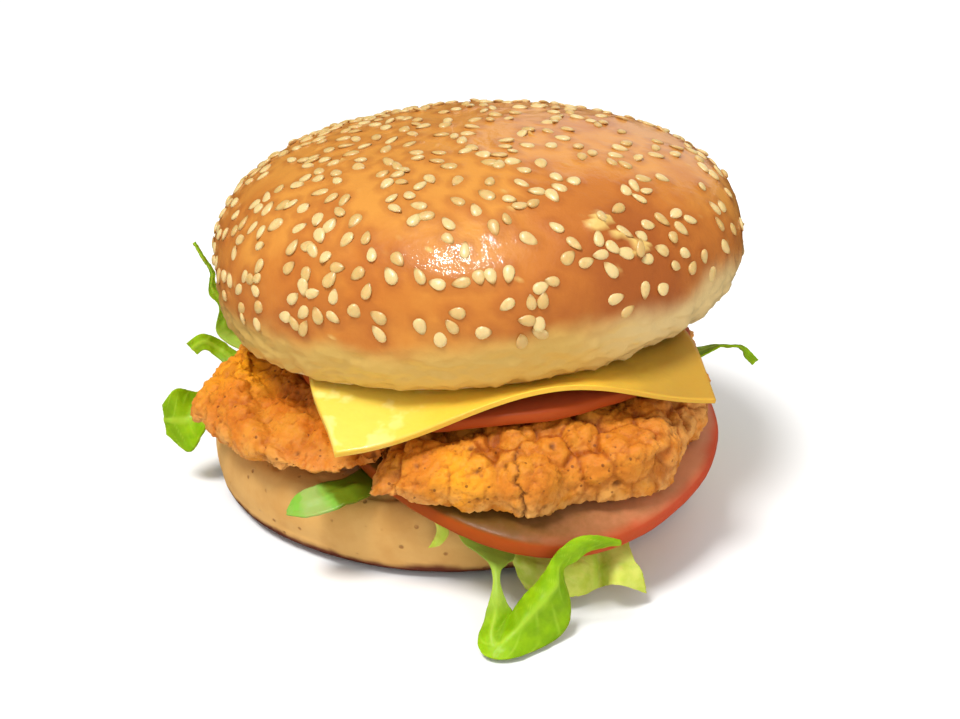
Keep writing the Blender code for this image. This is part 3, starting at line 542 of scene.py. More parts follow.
def seed_places(crown):
    """Points and normals on the crown at which seeds lie."""
    chance = random.Random(PLACES_DRAW)
    shape = bmesh.new()
    shape.from_mesh(crown)
    faces = [face for face in shape.faces if cut_height(face.calc_center_median()) > SEED_LOW]
    areas = np.cumsum([face.calc_area() for face in faces])
    places = []
    while len(places) < SEED_COUNT:
        face = faces[int(np.searchsorted(areas, chance.random() * areas[-1]))]
        point = face.calc_center_median()
        crowded = clumped(point)
        apart = SEED_TOUCH if crowded or chance.random() < CLUMP_SHARE else SEED_APART
        if not crowded and chance.random() > seed_density(point, face.normal):
            continue
        if all((point - other).length > apart for other, _, _ in places):
            places.append((point, face.normal.copy(), chance.uniform(0.0, math.tau)))
    shape.free()
    return places


def seed_frame(normal, turn):
    """Rotation of a seed that lies on a surface with this normal."""
    return normal.to_track_quat("Z", "Y").to_matrix() @ Matrix.Rotation(turn, 3, "Z")


def seat_seeds(crown, places):
    """Raises the crown round each seed and marks it to be painted darker."""
    tree = kdtree.KDTree(len(places) * 3)
    for index, (point, normal, turn) in enumerate(places):
        along = seed_frame(normal, turn) @ Vector((SEED_LENGTH * SEAT_REACH, 0.0, 0.0))
        for step in (-1, 0, 1):
            tree.insert(point + along * step, index * 3 + step + 1)
    tree.balance()

    def relief(point, normal):
        seat = smooth_step(SEAT_FAR, SEAT_NEAR, tree.find(point)[2])
        return seat * SEAT_RISE, {"seat": seat}

    relieve(crown, relief)


def seed_ring(rise, sides):
    """A ring of a seed of length, width and depth 1, whose tip is towards +X."""
    ring = []
    for side in range(sides):
        turn = math.tau * side / sides
        along = math.cos(rise) * math.cos(turn)
        taper = 1.0 - SEED_TAPER[0] * along - SEED_TAPER[1] * along * along
        across = math.cos(rise) * math.sin(turn) * taper
        ring.append((along / 2.0, across / 2.0, math.sin(rise) * taper / 2.0))
    return ring


def seed_template():
    """(points, faces) of one seed."""
    sides, rings = SEED_MESH
    points = [(0.0, 0.0, -0.5)]
    for ring in range(1, rings):
        points += seed_ring(math.pi * (ring / rings - 0.5), sides)
    points.append((0.0, 0.0, 0.5))
    faces = [(0, 1 + (side + 1) % sides, 1 + side) for side in range(sides)]
    for ring in range(rings - 2):
        low = 1 + ring * sides
        for side in range(sides):
            after = (side + 1) % sides
            faces.append((low + side, low + after, low + sides + after, low + sides + side))
    last = len(points) - 1
    top = last - sides
    faces += [(top + side, top + (side + 1) % sides, last) for side in range(sides)]
    return np.array(points), faces


def make_seeds(places):
    chance = random.Random(SHAPES_DRAW)
    template, template_faces = seed_template()
    points = []
    faces = []
    toasts = []
    tips = []
    sizes = (SEED_LENGTH, SEED_WIDTH, SEED_DEPTH)
    for index, (point, normal, turn) in enumerate(places):
        size = Vector([
            whole * chance.uniform(*varies) for whole, varies in zip(sizes, SEED_VARIES)])
        turned = seed_frame(normal, turn)
        for axis, tilt in zip("YX", SEED_TILT):
            turned = turned @ Matrix.Rotation(chance.gauss(0.0, tilt), 3, axis)
        centre = point + normal * size.z * chance.uniform(*SEED_UP)
        points.append((template * np.array(size)) @ np.array(turned).T + np.array(centre))
        first = index * len(template)
        faces += [tuple(corner + first for corner in face) for face in template_faces]
        toasts += [chance.random()] * len(template)
        tips += [0.5 + x for x in template[:, 0]]
    mesh = bpy.data.meshes.new("seeds")
    mesh.from_pydata(np.concatenate(points).tolist(), [], faces)
    add_tone(mesh, "toast", toasts)
    add_tone(mesh, "tip", tips)
    add_piece("sesame_seeds", mesh, seed_look(), "sesame")


def seed_look():
    look = Look("sesame", Roughness=0.4, Coat_Weight=0.2, Coat_Roughness=0.2,
                Subsurface_Weight=0.15, Subsurface_Scale=0.0008)
    toast = look.math("ADD", look.tone("toast"), look.noise(1.2 * MM, 2.0))
    hull = look.blend(look.between(toast, 0.5, 1.5), SEED_CREAM, SEED_TOASTED)
    look.colour(look.blend(look.between(look.tone("tip"), 0.72, 1.0), hull, SEED_TIP))
    look.bump((look.noise(0.5 * MM, 2.0), 0.05 * MM, 0.5))
    return look.material


# ---- fried chicken

CRUST_STEP = 0.45 * MM  # size of the crust's quads
# The crust of each piece: its knobs are drawn out upwards by 1 / squash, then the size and height
# in millimetres of its knobs and of its lumps, how dark its clefts are painted, browner and partly
# as shade, its finest bumps' height, and how orange its patches are.
CRUSTS = {
    "right": {
        "squash": 0.55, "knobs": ((7.4, 2.0), (3.4, 0.8)), "lumps": ((1.9, 0.55), (0.95, 0.3)),
        "cleft": 0.8, "grain": 0.2 * MM, "orange": 0.45},
    "left": {
        "squash": 0.7, "knobs": ((7.6, 1.6), (3.4, 1.25)), "lumps": ((1.7, 0.65), (0.9, 0.38)),
        "cleft": 0.45, "grain": 0.25 * MM, "orange": 0.65},
}
KNOB_REACH = 0.74  # of a knob's size, at which its height is 0
KNOB_VARIES = 0.12
KNOB_DRAW = 17.3  # a knob's middle times this gives its random number
KNOB_MIDDLE = 0.66  # of a knob's height is above the surface
CLEFT_WIDTH = 0.06  # of a knob's size
CLEFT_FADE = (0.85, 0.55)  # of the knob's height
SMALL_CLEFT = 0.5  # how strongly the clefts between the small knobs are painted
FULL_LUMP = 0.45  # the noise at which a lump reaches its full height
SOFT_LUMP = 0.03  # the noise over which the crease between two lumps is rounded
LUMP_MIDDLE = 0.68  # of a lump's height is above the surface
OTHER_LUMPS = Vector((37.3, 11.9, 53.1))  # from one set of lumps to the set mixed with it
CALM = 14.0 * MM  # size of the zones where the lumps are lower
CALM_FADE = (-0.3, 0.2)
CALM_SHARE = 0.6  # of their height there
BOLD_FADE = (23.0 * MM, 30.0 * MM)  # of the height above the table, where the knobs grow
BOLD_SHARES = (0.65, 1.1)  # from this share of their height to this one
BOLD_WAVES = (CALM, 1, 4.0 * MM)
GRAIN = 0.75 * MM  # size of the crust's finest bumps
PIT = 3.6 * MM  # about one pit in each cell of this size
PIT_SHARE = 0.62  # of the cells that have one
PIT_RADIUS = 0.55 * MM
PIT_FADE = (1.5 * PIT_RADIUS, 0.5 * PIT_RADIUS)  # of the distance from its middle
PIT_DEPTH = 0.45 * MM
PIT_DRAW = 31.7  # the same for a pit
WARP = 6.0 * MM  # size of the bends in the lumps' borders
WARP_REACH = 1.5 * MM
FINE_WARP = 2.2 * MM
FINE_WARP_REACH = 0.45 * MM
CRUST_SEED = 4  # of noise_vector, which otherwise takes its offsets from the clock
PRESSED_INSIDE = 50.0 * MM  # the crown presses on the crust this near to its middle
PRESSED_DEPTH = 0.8 * MM
PRESSED_FADE = (0.6, 0.9)  # of the normal's z, up or down
BOUNCE_LIGHT_LOW_FADE = (27.0 * MM, 19.0 * MM)  # of the height, below which the crust is painted pale, as light bounced up from the floor
SANDY_RIGHT_FADE = (30.0 * MM, 48.0 * MM)  # of x
SANDY_RIGHT = 0.7  # how sandy it is there
SANDY_MOST = 0.95
PAINTED_SUN_PLACES = {  # middle and reach of the yellow patch of each piece, painted light where light falls on it
    "right": (Vector((2.0, -60.0, 26.0)) * MM, 8.0 * MM),
    "left": (Vector((-44.0, -18.0, 32.0)) * MM, 15.0 * MM),
}
CRACK_X = 13.6 * MM  # an upright crack in the front of the right piece, at its lower end
CRACK_LEAN = 0.16  # to the left, for each unit upwards
CRACK_LOW = 18.5 * MM
CRACK_HIGH = 33.0 * MM
CRACK_ENDS = (1.0 * MM, 3.0 * MM)  # lengths over which it fades, low and high
CRACK_WIDTH = 0.42 * MM
CRACK_DEPTH = 0.8 * MM
CRACK_BACK = -36.0 * MM  # it is in front of this
CRACK_BEND = (2.2 * MM, 1.5 * MM)  # size and reach of its bends
CRACK_JAG = (0.8 * MM, 0.5 * MM)


def lump(place):
    """Height from 0 to 1 of round lumps of about size 1 with creases between them."""
    away = math.hypot(noise.noise(place), SOFT_LUMP) - SOFT_LUMP
    rise = 1.0 - min(away / FULL_LUMP, 1.0)
    return 1.0 - rise * rise


def knob(point, size):
    """Height from 0 to 1 of round knobs of this size, and how deep in a cleft between them, which
    is painted browner and partly as shade.
    """
    distances, centres = noise.voronoi(point / size)
    reach = KNOB_REACH + KNOB_VARIES * noise.cell(centres[0] * KNOB_DRAW)
    share = min(distances[0] / reach, 1.0)
    height = math.sqrt(1.0 - share * share)
    cleft = smooth_step(CLEFT_WIDTH, CLEFT_WIDTH / 4.0, (distances[1] - distances[0]) / 2.0)
    return height, cleft * smooth_step(*CLEFT_FADE, height)


def crumbly(point, size):
    """Height from 0 to 1 of lumps of this size that run into each other."""
    return (lump(point / size) + lump(point / size + OTHER_LUMPS)) / 2.0


def pitted(point):
    """How deep in a small pit a point is, from 0 to 1."""
    distances, centres = noise.voronoi(point / PIT)
    if noise.cell(centres[0] * PIT_DRAW) * 0.5 + 0.5 >= PIT_SHARE:
        return 0.0
    return smooth_step(*PIT_FADE, distances[0] * PIT)


def cracked(point):
    """How deep in the crack a point is, from 0 to 1."""
    if point.y >= CRACK_BACK:
        return 0.0
    bend_size, bend_reach = CRACK_BEND
    jag_size, jag_reach = CRACK_JAG
    bend = noise.noise(Vector((0.0, 0.0, point.z / bend_size))) * bend_reach
    bend += noise.noise(point / jag_size) * jag_reach
    ends = smooth_step(CRACK_LOW, CRACK_LOW + CRACK_ENDS[0], point.z)
    ends *= smooth_step(CRACK_HIGH, CRACK_HIGH - CRACK_ENDS[1], point.z)
    middle = CRACK_X - bend - CRACK_LEAN * (point.z - CRACK_LOW)
    return ends * smooth_step(CRACK_WIDTH, 0.0, abs(point.x - middle))


def pressed(point, normal):
    """How far the crust is pressed flat by what lies on it or under it, from 0 to 1."""
    below = smooth_step(*PRESSED_FADE, -normal.z)
    if math.hypot(point.x - CROWN_MIDDLE.x, point.y - CROWN_MIDDLE.y) < PRESSED_INSIDE:
        return max(below, smooth_step(*PRESSED_FADE, normal.z))
    return below


def fried_relief(side):
    crust = CRUSTS[side]
    painted_sun_place, painted_sun_reach = PAINTED_SUN_PLACES[side]

    def relief(point, normal):
        bent = point + noise.noise_vector(point / WARP) * WARP_REACH
        bent += noise.noise_vector(point / FINE_WARP) * FINE_WARP_REACH
        drawn = Vector((bent.x, bent.y, bent.z * crust["squash"]))
        knobs = [knob(drawn, size * MM) for size, _ in crust["knobs"]]
        bold = smooth_step(*BOLD_FADE, point.z + bumps(point, BOLD_WAVES))
        bold = mix(*BOLD_SHARES, bold)
        height = bold * sum(
            (share - KNOB_MIDDLE) * rise * MM
            for (share, _), (_, rise) in zip(knobs, crust["knobs"]))
        calm = mix(CALM_SHARE, 1.0, smooth_step(*CALM_FADE, rough(point, CALM, 2)))
        height += calm * sum(
            (crumbly(bent, size * MM) - LUMP_MIDDLE) * rise * MM for size, rise in crust["lumps"])
        height += crust["grain"] * rough(point, GRAIN)
        pit = pitted(point)
        crack = cracked(point) if side == "right" else 0.0
        height -= PIT_DEPTH * pit + CRACK_DEPTH * crack
        height = mix(height, min(height - PRESSED_DEPTH, 0.0), pressed(point, normal))
        sandy_and_bounce = smooth_step(*BOUNCE_LIGHT_LOW_FADE, point.z)
        sandy_and_bounce += SANDY_RIGHT * smooth_step(*SANDY_RIGHT_FADE, point.x)
        return height, {
            "cleft": clamp(crust["cleft"] * bold * max(knobs[0][1], SMALL_CLEFT * knobs[1][1])),
            "pit": max(pit, crack),
            "painted_sun": smooth_step(painted_sun_reach, 0.0, (bent - painted_sun_place).length),
            "sandy_and_bounce": SANDY_MOST * clamp(sandy_and_bounce),
            "orange": crust["orange"],
        }

    return relief


def fried_look():
    look = Look("fried_crust", Roughness=0.55, Specular_IOR_Level=0.18, Coat_Weight=0.05,
                Coat_Roughness=0.25, Subsurface_Weight=0.06, Subsurface_Scale=0.0015)
    patches = look.noise(7.0 * MM, 5.0, 0.6)
    orange = look.part(look.tone("orange"), look.between(patches, 0.33, 0.58))
    crust = look.blend(orange, FRIED_GOLD, FRIED_ORANGE)
    # painted light: a yellow patch where light falls on each piece
    crust = look.blend(look.tone("painted_sun"), crust, FRIED_PAINTED_LIGHT)
    # the low crust is painted pale as light bounced up from the floor, and the right end is sandy
    # crust
    sandy_and_bounce = look.part(look.tone("sandy_and_bounce"), look.between(look.noise(4.0 * MM), 0.35, 0.6))
    crust = look.blend(sandy_and_bounce, crust, FRIED_SANDY_AND_BOUNCE)
    crumbs = look.between(look.noise(1.3 * MM, 4.0, 0.6), 0.56, 0.72)
    crust = look.blend(look.part(crumbs, 0.35), crust, FRIED_BROWN)
    # the clefts are painted browner, partly as shade in them
    crust = look.blend(look.tone("cleft"), crust, FRIED_CLEFT_BROWN_AND_SHADE)
    # painted shade in the pits and the crack; the specks below are pepper
    crust = look.blend(look.part(look.tone("pit"), 0.8), crust, FRIED_SPECK_AND_SHADE)
    specks = look.between(look.cells(2.1 * MM), 0.18, 0.1)
    some = look.between(look.noise(2.9 * MM, 1.0), 0.45, 0.5)
    specks = look.part(specks, some)
    look.colour(look.blend(look.part(specks, 0.7), crust, FRIED_SPECK_AND_SHADE))
    look.bump(
        (look.noise(1.0 * MM, 5.0, 0.65), 0.35 * MM, 0.7),
        (look.noise(0.35 * MM, 2.0), 0.1 * MM, 0.5))
    return look.material


def make_chicken():
    noise.seed_set(CRUST_SEED)
    material = fried_look()
    for side in CRUSTS:
        node = "chicken_" + side
        mesh = relieve(remeshed(packed(node), CRUST_STEP), fried_relief(side))
        add_piece("fried_" + side, mesh, material, "fried_chicken", node)


# ---- tomato and cheese

SLICE_LEVELS = 2
SLICE_WAVES = (4.0 * MM, 3, 0.12 * MM)
WALL_FADE = (0.95, 0.2)  # of the normal's z
RIM_FADE = (0.93, 0.99)  # from the slice's middle, in shares of its radius
RIM_WAVES = (6.0 * MM, 3, 0.012)
RIM_RIGHT_FADE = (0.3, 0.8)  # from the slice's left end, in shares of its length


def tomato_relief(node):
    low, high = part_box(node)
    middle = (low + high) / 2.0
    half = (high - low) / 2.0

    def relief(point, normal):
        out = math.hypot((point.x - middle.x) / half.x, (point.y - middle.y) / half.y)
        across = (point.x - low.x) / (high.x - low.x)
        wall = smooth_step(*WALL_FADE, normal.z)
        rim = smooth_step(*RIM_FADE, out + bumps(point, RIM_WAVES))
        rim *= smooth_step(*RIM_RIGHT_FADE, across)
        # the upper slice is marked to be painted shade
        upper = float(node == "tomato_upper")
        return bumps(point, SLICE_WAVES), {
            "skin": max(rim, wall), "across": across, "upper": upper}

    return relief


def tomato_look():
    look = Look("tomato_slice", Roughness=0.35, Specular_IOR_Level=0.1, Coat_Weight=0.02,
                Coat_Roughness=0.15, Subsurface_Weight=0.2, Subsurface_Scale=0.002)
    fibres = look.noise(2.5 * MM, 5.0)
    across = look.mottled("across", fibres, 0.3)
    # painted shade: flesh and skin are darker towards the left, in the chicken's shadow
    flesh = look.blend(look.between(across, 0.5, 1.1), TOMATO_OLIVE_SHADE, TOMATO_FLESH)
    skin = look.blend(look.between(across, 0.5, 1.1), TOMATO_SKIN_SHADE, TOMATO_ROSE)
    # painted shade: the upper slice, in shade between the cheese and the chicken, is darker
    flesh = look.blend(look.tone("upper"), flesh, TOMATO_MAROON_SHADE)
    skin = look.blend(look.tone("upper"), skin, TOMATO_RUST_SHADE)
    look.colour(look.blend(look.tone("skin"), flesh, skin))
    look.bump((fibres, 0.2 * MM, 0.4))
    return look.material


def make_tomatoes():
    material = tomato_look()
    for level in ("lower", "upper"):
        node = "tomato_" + level
        mesh = relieve(smoothed(packed(node), SLICE_LEVELS), tomato_relief(node))
        add_piece("slice_" + level, mesh, material, "tomato", node)


CHEESE_LOW, CHEESE_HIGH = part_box("cheese")
CHEESE_LEVELS = 3
CHEESE_CREASE = math.radians(40.0)  # an edge sharper than this stays sharp
CHEESE_EDGE_SHADE_FADE = (0.8, 0.5)  # of the normal's z, up or down: the slice's steep edge is painted shade
CHEESE_WAVES = (14.0 * MM, 2, 0.15 * MM)


def cheese_relief(point, normal):
    across = (point.x - CHEESE_LOW.x) / (CHEESE_HIGH.x - CHEESE_LOW.x)
    edge = smooth_step(*CHEESE_EDGE_SHADE_FADE, abs(normal.z))
    return bumps(point, CHEESE_WAVES), {"across": clamp(across), "edge": edge}


def cheese_look():
    look = Look("cheese", Roughness=0.4, Specular_IOR_Level=0.2, Coat_Weight=0.25,
                Coat_Roughness=0.08, Subsurface_Weight=0.3, Subsurface_Scale=0.004)
    across = look.mottled("across", look.noise(14.0 * MM, 3.0), 0.25)
    waves = look.between(look.noise(6.0 * MM, 3.0), 0.5, 0.62)
    yellow = look.blend(look.part(waves, 0.8), CHEESE_YELLOW, CHEESE_CREAM)
    # painted shade: the cheese turns gold and then mustard towards the right, where it lies in the
    # crown's shade
    shaded_gold = look.blend(look.between(across, 0.3, 0.6), yellow, CHEESE_GOLD_HALF_SHADE)
    shaded_gold = look.blend(look.between(across, 0.75, 1.05), shaded_gold, CHEESE_MUSTARD_SHADE)
    # painted shade on the slice's steep edge
    look.colour(look.blend(look.part(look.tone("edge"), 0.8), shaded_gold, CHEESE_EDGE_SHADE))
    look.bump(
        (look.noise(7.0 * MM, 3.0), 0.7 * MM, 0.6),
        (look.noise(1.2 * MM, 3.0), 0.06 * MM, 0.4))
    return look.material


def make_cheese():
    mesh = relieve(smoothed(packed("cheese"), CHEESE_LEVELS, CHEESE_CREASE), cheese_relief)
    add_piece("cheese_slice", mesh, cheese_look(), "cheese", "cheese")


# ---- lettuce

BED = 18.75  # mm, the middle of a leaf between the heel and what lies on it
LEAF_THICKNESS = 0.5 * MM
LEAF_STEP = 0.6 * MM  # size of a leaf's quads
LEAF_QUADS = (8, 6)  # along and across it, at least
CRINKLES = (3.6 * MM, 3, 0.4 * MM)
RIB_WIDTH = 0.9 * MM
RIB_RISE = 0.25 * MM
VEIN_APART = 4.5 * MM
VEIN_WIDTH = 0.35 * MM
VEIN_RISE = 0.08 * MM
VEIN_SLANT = 0.9  # towards the tip, for each unit away from the rib
RIB_END = 0.1  # of a leaf's length, as the next two: the rib fades over this at both ends
RELIEF_FADE = (0.25, 0.45)
TIP_FADE = (0.7, 1.0)  # where its end gets ragged
TIP_TORN = 1.5  # times as deep as the edges
TEARS_APART = 7.0  # mm in the noise between a leaf's two edges
TEAR_RATES = (0.9, 0.5)  # of the fine and the wide tears, for each mm
TEAR_DEPTHS = (0.6, 0.4)  # of the wide tears, and how much the fine ones change it

# Each leaf: its look, the share of its width at which its midrib runs, where along it the rib
# fades, how ragged its edges are in millimetres, and its rows of points in millimetres from its
# root between the heel and the fillings to its free end. Each row runs across it.
LEAVES = {
    "front": ("green", 0.5, (0.45, 0.75), 0.35, (
        ((-1, -24, BED), (1.5, -24, BED), (4, -24, BED)),
        ((-1, -43, BED), (3, -43, BED), (7, -43, BED)),
        ((-1, -51, 17.6), (3.5, -51, 17.6), (8, -50.5, 17.6)),
        ((1.5, -56.5, 12.0), (6.5, -57.5, 11.6), (11.5, -58, 9.9)),
        ((4.5, -59, 10.6), (7.4, -60.2, 10.2), (10.4, -60.5, 9.1)),
        ((6.9, -61.5, 9.6), (8.0, -62.3, 9.4), (9.0, -62.5, 8.7)),
        ((7.7, -64, 7.8), (8.2, -64.5, 7.8), (8.8, -64.5, 7.4)),
        ((7.0, -67.5, 5.8), (8.3, -67.8, 6.0), (9.7, -67, 5.7)),
        ((5.9, -71.5, 3.5), (7.9, -71.2, 4.9), (10.6, -68.6, 4.9)),
        ((5.0, -76, 1.6), (7.2, -74.8, 3.2), (11.2, -69.3, 4.5)),
        ((7.8, -78.2, 0.8), (8.5, -76.2, 2.2), (11.6, -69.5, 5.7)),
        ((12.5, -77.2, 0.8), (11.3, -75, 4.2), (13.0, -69.3, 7.6)),
        ((18.3, -72.6, 1.0), (14.1, -73.2, 6.5), (14.4, -69, 8.9)),
        ((20.9, -70.2, 3.0), (16.6, -71.8, 9.0), (16.0, -68.5, 11.0)),
        ((21.3, -67.9, 6.0), (18.4, -70.3, 10.6), (17.2, -68.5, 13.3)),
        ((19.9, -67.5, 11.5), (19.0, -68.8, 13.4), (18.0, -68.5, 15.3)),
        ((22.1, -67.6, 14.2), (20.8, -69.1, 16.2), (19.5, -69, 17.6)),
        ((24.5, -67.5, 16.0), (23.2, -69.2, 18.2), (21.9, -69, 19.5)),
        ((27.0, -67.2, 16.8), (26.2, -68.5, 18.5), (25.4, -68.5, 19.7)),
        ((30.1, -66, 16.4), (30.0, -66.4, 16.9), (30.0, -66.5, 17.5)),
    )),
    "front_pale": ("pale", 0.62, (0.3, 0.9), 1.3, (
        ((6, -22, BED), (6.7, -21.8, BED), (7.4, -21.6, BED), (8.1, -21.3, BED),
         (8.8, -21, BED), (9.4, -20.5, BED), (10, -20, BED)),
        ((12, -43, BED), (14.5, -42.2, BED), (17, -41.3, BED), (19.5, -40, BED),
         (22, -38.6, BED), (24, -37.3, BED), (26, -36, BED)),
        ((12.6, -51.2, 16.8), (16, -50.4, 16.8), (19.4, -49.3, 16.8), (22.8, -47.8, 16.8),
         (26, -46, 16.8), (29, -44.2, 16.8), (32, -42.5, 16.8)),
        ((10.9, -55.6, 9.0), (14.5, -57.2, 9.6), (18.5, -58.0, 9.8), (23.0, -57.3, 9.6),
         (27.2, -55.8, 8.5), (29.5, -57.5, 10.4), (33.0, -58, 10.2)),
        ((11.7, -57.4, 6.6), (15.3, -60.5, 8.0), (19.4, -61.5, 8.0), (23.6, -60, 7.4),
         (27.5, -57.2, 5.8), (29.9, -61, 8.4), (34.9, -59.5, 7.2)),
        ((14.0, -58.5, 2.3), (16.4, -61.5, 4.0), (19.3, -63, 3.5), (23.6, -61.5, 2.8),
         (27.6, -58, 2.2), (30.2, -62.5, 5.8), (35.9, -60, 2.3)),
    )),
    "shred": ("pale", 0.5, (0.2, 0.9), 0.5, (
        ((-6, -42, BED), (-3.5, -42, BED)),
        ((-5, -50, 18.0), (-2.4, -50, 18.0)),
        ((-3.6, -54.0, 15.8), (-1.4, -54.4, 15.2)),
        ((-2.9, -55.1, 12.6), (-0.5, -55.2, 12.2)),
        ((-4.4, -55.2, 9.2), (-2.2, -55.2, 9.8)),
    )),
    "front_left": ("sheen_and_shade", 0.5, (0.2, 0.95), 0.3, (
        ((-9, -20, BED), (-5, -22, BED)),
        ((-16, -38, BED), (-10, -43, BED)),
        ((-20.4, -45.5, 18.6), (-15.6, -50.8, 17.9)),
        ((-24.9, -47.6, 18.5), (-21.4, -54.8, 17.2)),
        ((-28.6, -49.4, 17.6), (-26.8, -55.4, 15.8)),
        ((-30.6, -51.2, 15.6), (-30.8, -52.6, 14.6)),
    )),
    "left": ("green", 0.5, (0.2, 0.95), 0.4, (
        ((-20, -1, BED), (-20, -7, BED)),
        ((-44, -1, BED), (-43, -11, BED)),
        ((-52, -2, 18.0), (-51.5, -13, 17.2)),
        ((-57.5, -5, 18.6), (-56, -14, 10.5)),
        ((-61, -8, 20.6), (-58.5, -13, 7.8)),
        ((-63.8, -10, 17.6), (-63, -12, 11.5)),
    )),
    "rear_left": ("green", 0.5, (0.2, 0.95), 0.5, (
        ((-20, 5.5, BED), (-20, 2, BED)),
        ((-43, 13, BED), (-44, 6, BED)),
        ((-51, 16, 18.6), (-52, 10, 17.6)),
        ((-55, 16, 22.0), (-55.5, 13, 18.6)),
        ((-59.4, 14.5, 24.7), (-58.7, 13.5, 21.0)),
        ((-63.3, 14, 22.4), (-60.8, 13.5, 19.8)),
    )),
    "rear_upright": ("green", 0.5, (0.2, 0.95), 0.3, (
        ((-16, 11, BED), (-18.5, 8, BED)),
        ((-39, 23, BED), (-41.5, 17, BED)),
        ((-48, 26, 18.2), (-50.5, 19.5, 18.2)),
        ((-53.6, 24.5, 21.8), (-57.8, 22.5, 21.6)),
        ((-53.8, 24, 27.5), (-57.0, 23.5, 28.0)),
        ((-57.3, 24, 33.6), (-59.2, 23.5, 31.4)),
        ((-57.4, 24, 36.4), (-58.6, 24, 36.2)),
        ((-59.0, 24, 39.6), (-59.8, 24, 39.2)),
        ((-61.4, 24, 44.0), (-62.0, 24, 43.6)),
    )),
    "right": ("green", 0.5, (0.2, 0.95), 0.3, (
        ((18, 8, BED), (20, 3, BED)),
        ((42, 16, BED), (44, 8, BED)),
        ((50, 17, 18.4), (51.5, 9, 18.0)),
        ((55.6, 16, 20.4), (56.5, 10, 20.8)),
        ((60.8, 16, 21.2), (60.8, 11, 22.9)),
        ((64.5, 16, 21.2), (65.0, 12, 22.6)),
        ((67.6, 14.5, 21.0), (67.0, 13, 19.6)),
        ((70.7, 14.0, 18.2), (69.0, 13.5, 17.2)),
    )),
}


def leaf_sheet(rows):
    """place(out, side) of a smooth sheet through rows of points, both from 0 to 1."""
    lines = [[Vector(point) * MM for point in line] for line in zip(*rows)]

    def place(out, side):
        return on_curve([on_curve(line, out) for line in lines], side)

    return place


def measure(place, steps=24):
    """(length, width) of a sheet: the length of its middle line and its greatest width."""
    outs = [step / steps for step in range(steps + 1)]
    length = sum((place(a, 0.5) - place(b, 0.5)).length for a, b in zip(outs, outs[1:]))
    width = max(
        sum((place(out, a) - place(out, b)).length for a, b in zip(outs, outs[1:]))
        for out in outs)
    return length, width


def leaf_point(place, size, rib, ragged, out, side):
    """(point, how much on the rib, how much on a vein) of a leaf, whose edges are ragged."""
    length, width = size
    # Where the noise is strong, the edges are torn inwards and the tip is torn back.
    seat = Vector((out * length / MM, side * TEARS_APART, width / MM))
    fine, wide = (noise.noise(seat * rate) for rate in TEAR_RATES)
    torn = ragged * MM * (TEAR_DEPTHS[0] + TEAR_DEPTHS[1] * fine) * abs(wide)
    inward = torn / width * (2.0 * side - 1.0)
    tip = noise.noise(Vector((side * width / MM, 3.0, length)))
    back = abs(TIP_TORN * ragged * MM / length * tip) * smooth_step(*TIP_FADE, out)
    point = place(min(out * (1.0 - back), 1.0), side - inward)
    off_rib = abs(side - rib) * width
    ribbed = smooth_step(RIB_WIDTH, RIB_WIDTH * 0.2, off_rib)
    run = (out * length + off_rib * VEIN_SLANT) / VEIN_APART
    veined = smooth_step(VEIN_WIDTH, 0.0, abs(run - round(run)) * VEIN_APART)
    return point, ribbed, veined


def leaf_mesh(rows, rib, rib_range, ragged):
    """The thin ribbed sheet of one of the LEAVES."""
    place = leaf_sheet(rows)
    size = measure(place)
    along, across = (
        max(int(whole / LEAF_STEP), least) for whole, least in zip(size, LEAF_QUADS))
    shape = bmesh.new()
    bmesh.ops.create_grid(shape, x_segments=along, y_segments=across, size=0.5)
    tones = {name: shape.verts.layers.float.new(name) for name in ("rib", "vein", "out")}
    lifts = {}
    for vertex in shape.verts:
        out = vertex.co.x + 0.5
        side = vertex.co.y + 0.5
        point, ribbed, veined = leaf_point(place, size, rib, ragged, out, side)
        shown = smooth_step(rib_range[0] - RIB_END, rib_range[0], out)
        shown *= smooth_step(rib_range[1] + RIB_END, rib_range[1], out)
        vertex[tones["rib"]] = ribbed * shown
        vertex[tones["vein"]] = veined * (1.0 - ribbed)
        vertex[tones["out"]] = out
        lifts[vertex] = smooth_step(*RELIEF_FADE, out) * (
            RIB_RISE * ribbed * shown + VEIN_RISE * veined + bumps(point, CRINKLES))
        vertex.co = point
    shape.normal_update()
    for vertex, lift in lifts.items():
        vertex.co += vertex.normal * lift
    return evaluated(shape, ("SOLIDIFY", {"thickness": LEAF_THICKNESS, "offset": 0.0}))


def leaf_look(name, main, deep, gloss):
    look = Look(name, Roughness=0.5, Specular_IOR_Level=0.15, Coat_Weight=gloss,
                Coat_Roughness=0.25, Subsurface_Weight=0.25, Subsurface_Scale=0.0015)
    green = look.blend(look.between(look.noise(4.0 * MM, 4.0), 0.32, 0.68), main, deep)
    green = look.blend(look.part(look.tone("vein"), 0.35), green, LEAF_RIB)
    green = look.blend(look.part(look.tone("rib"), 0.5), green, LEAF_RIB)
    stem = look.between(look.tone("out"), 0.46, 0.34)
    look.colour(look.blend(look.part(stem, 0.6), green, LEAF_STEM))
    look.bump((look.noise(1.6 * MM, 4.0), 0.2 * MM, 0.5))
    return look.material


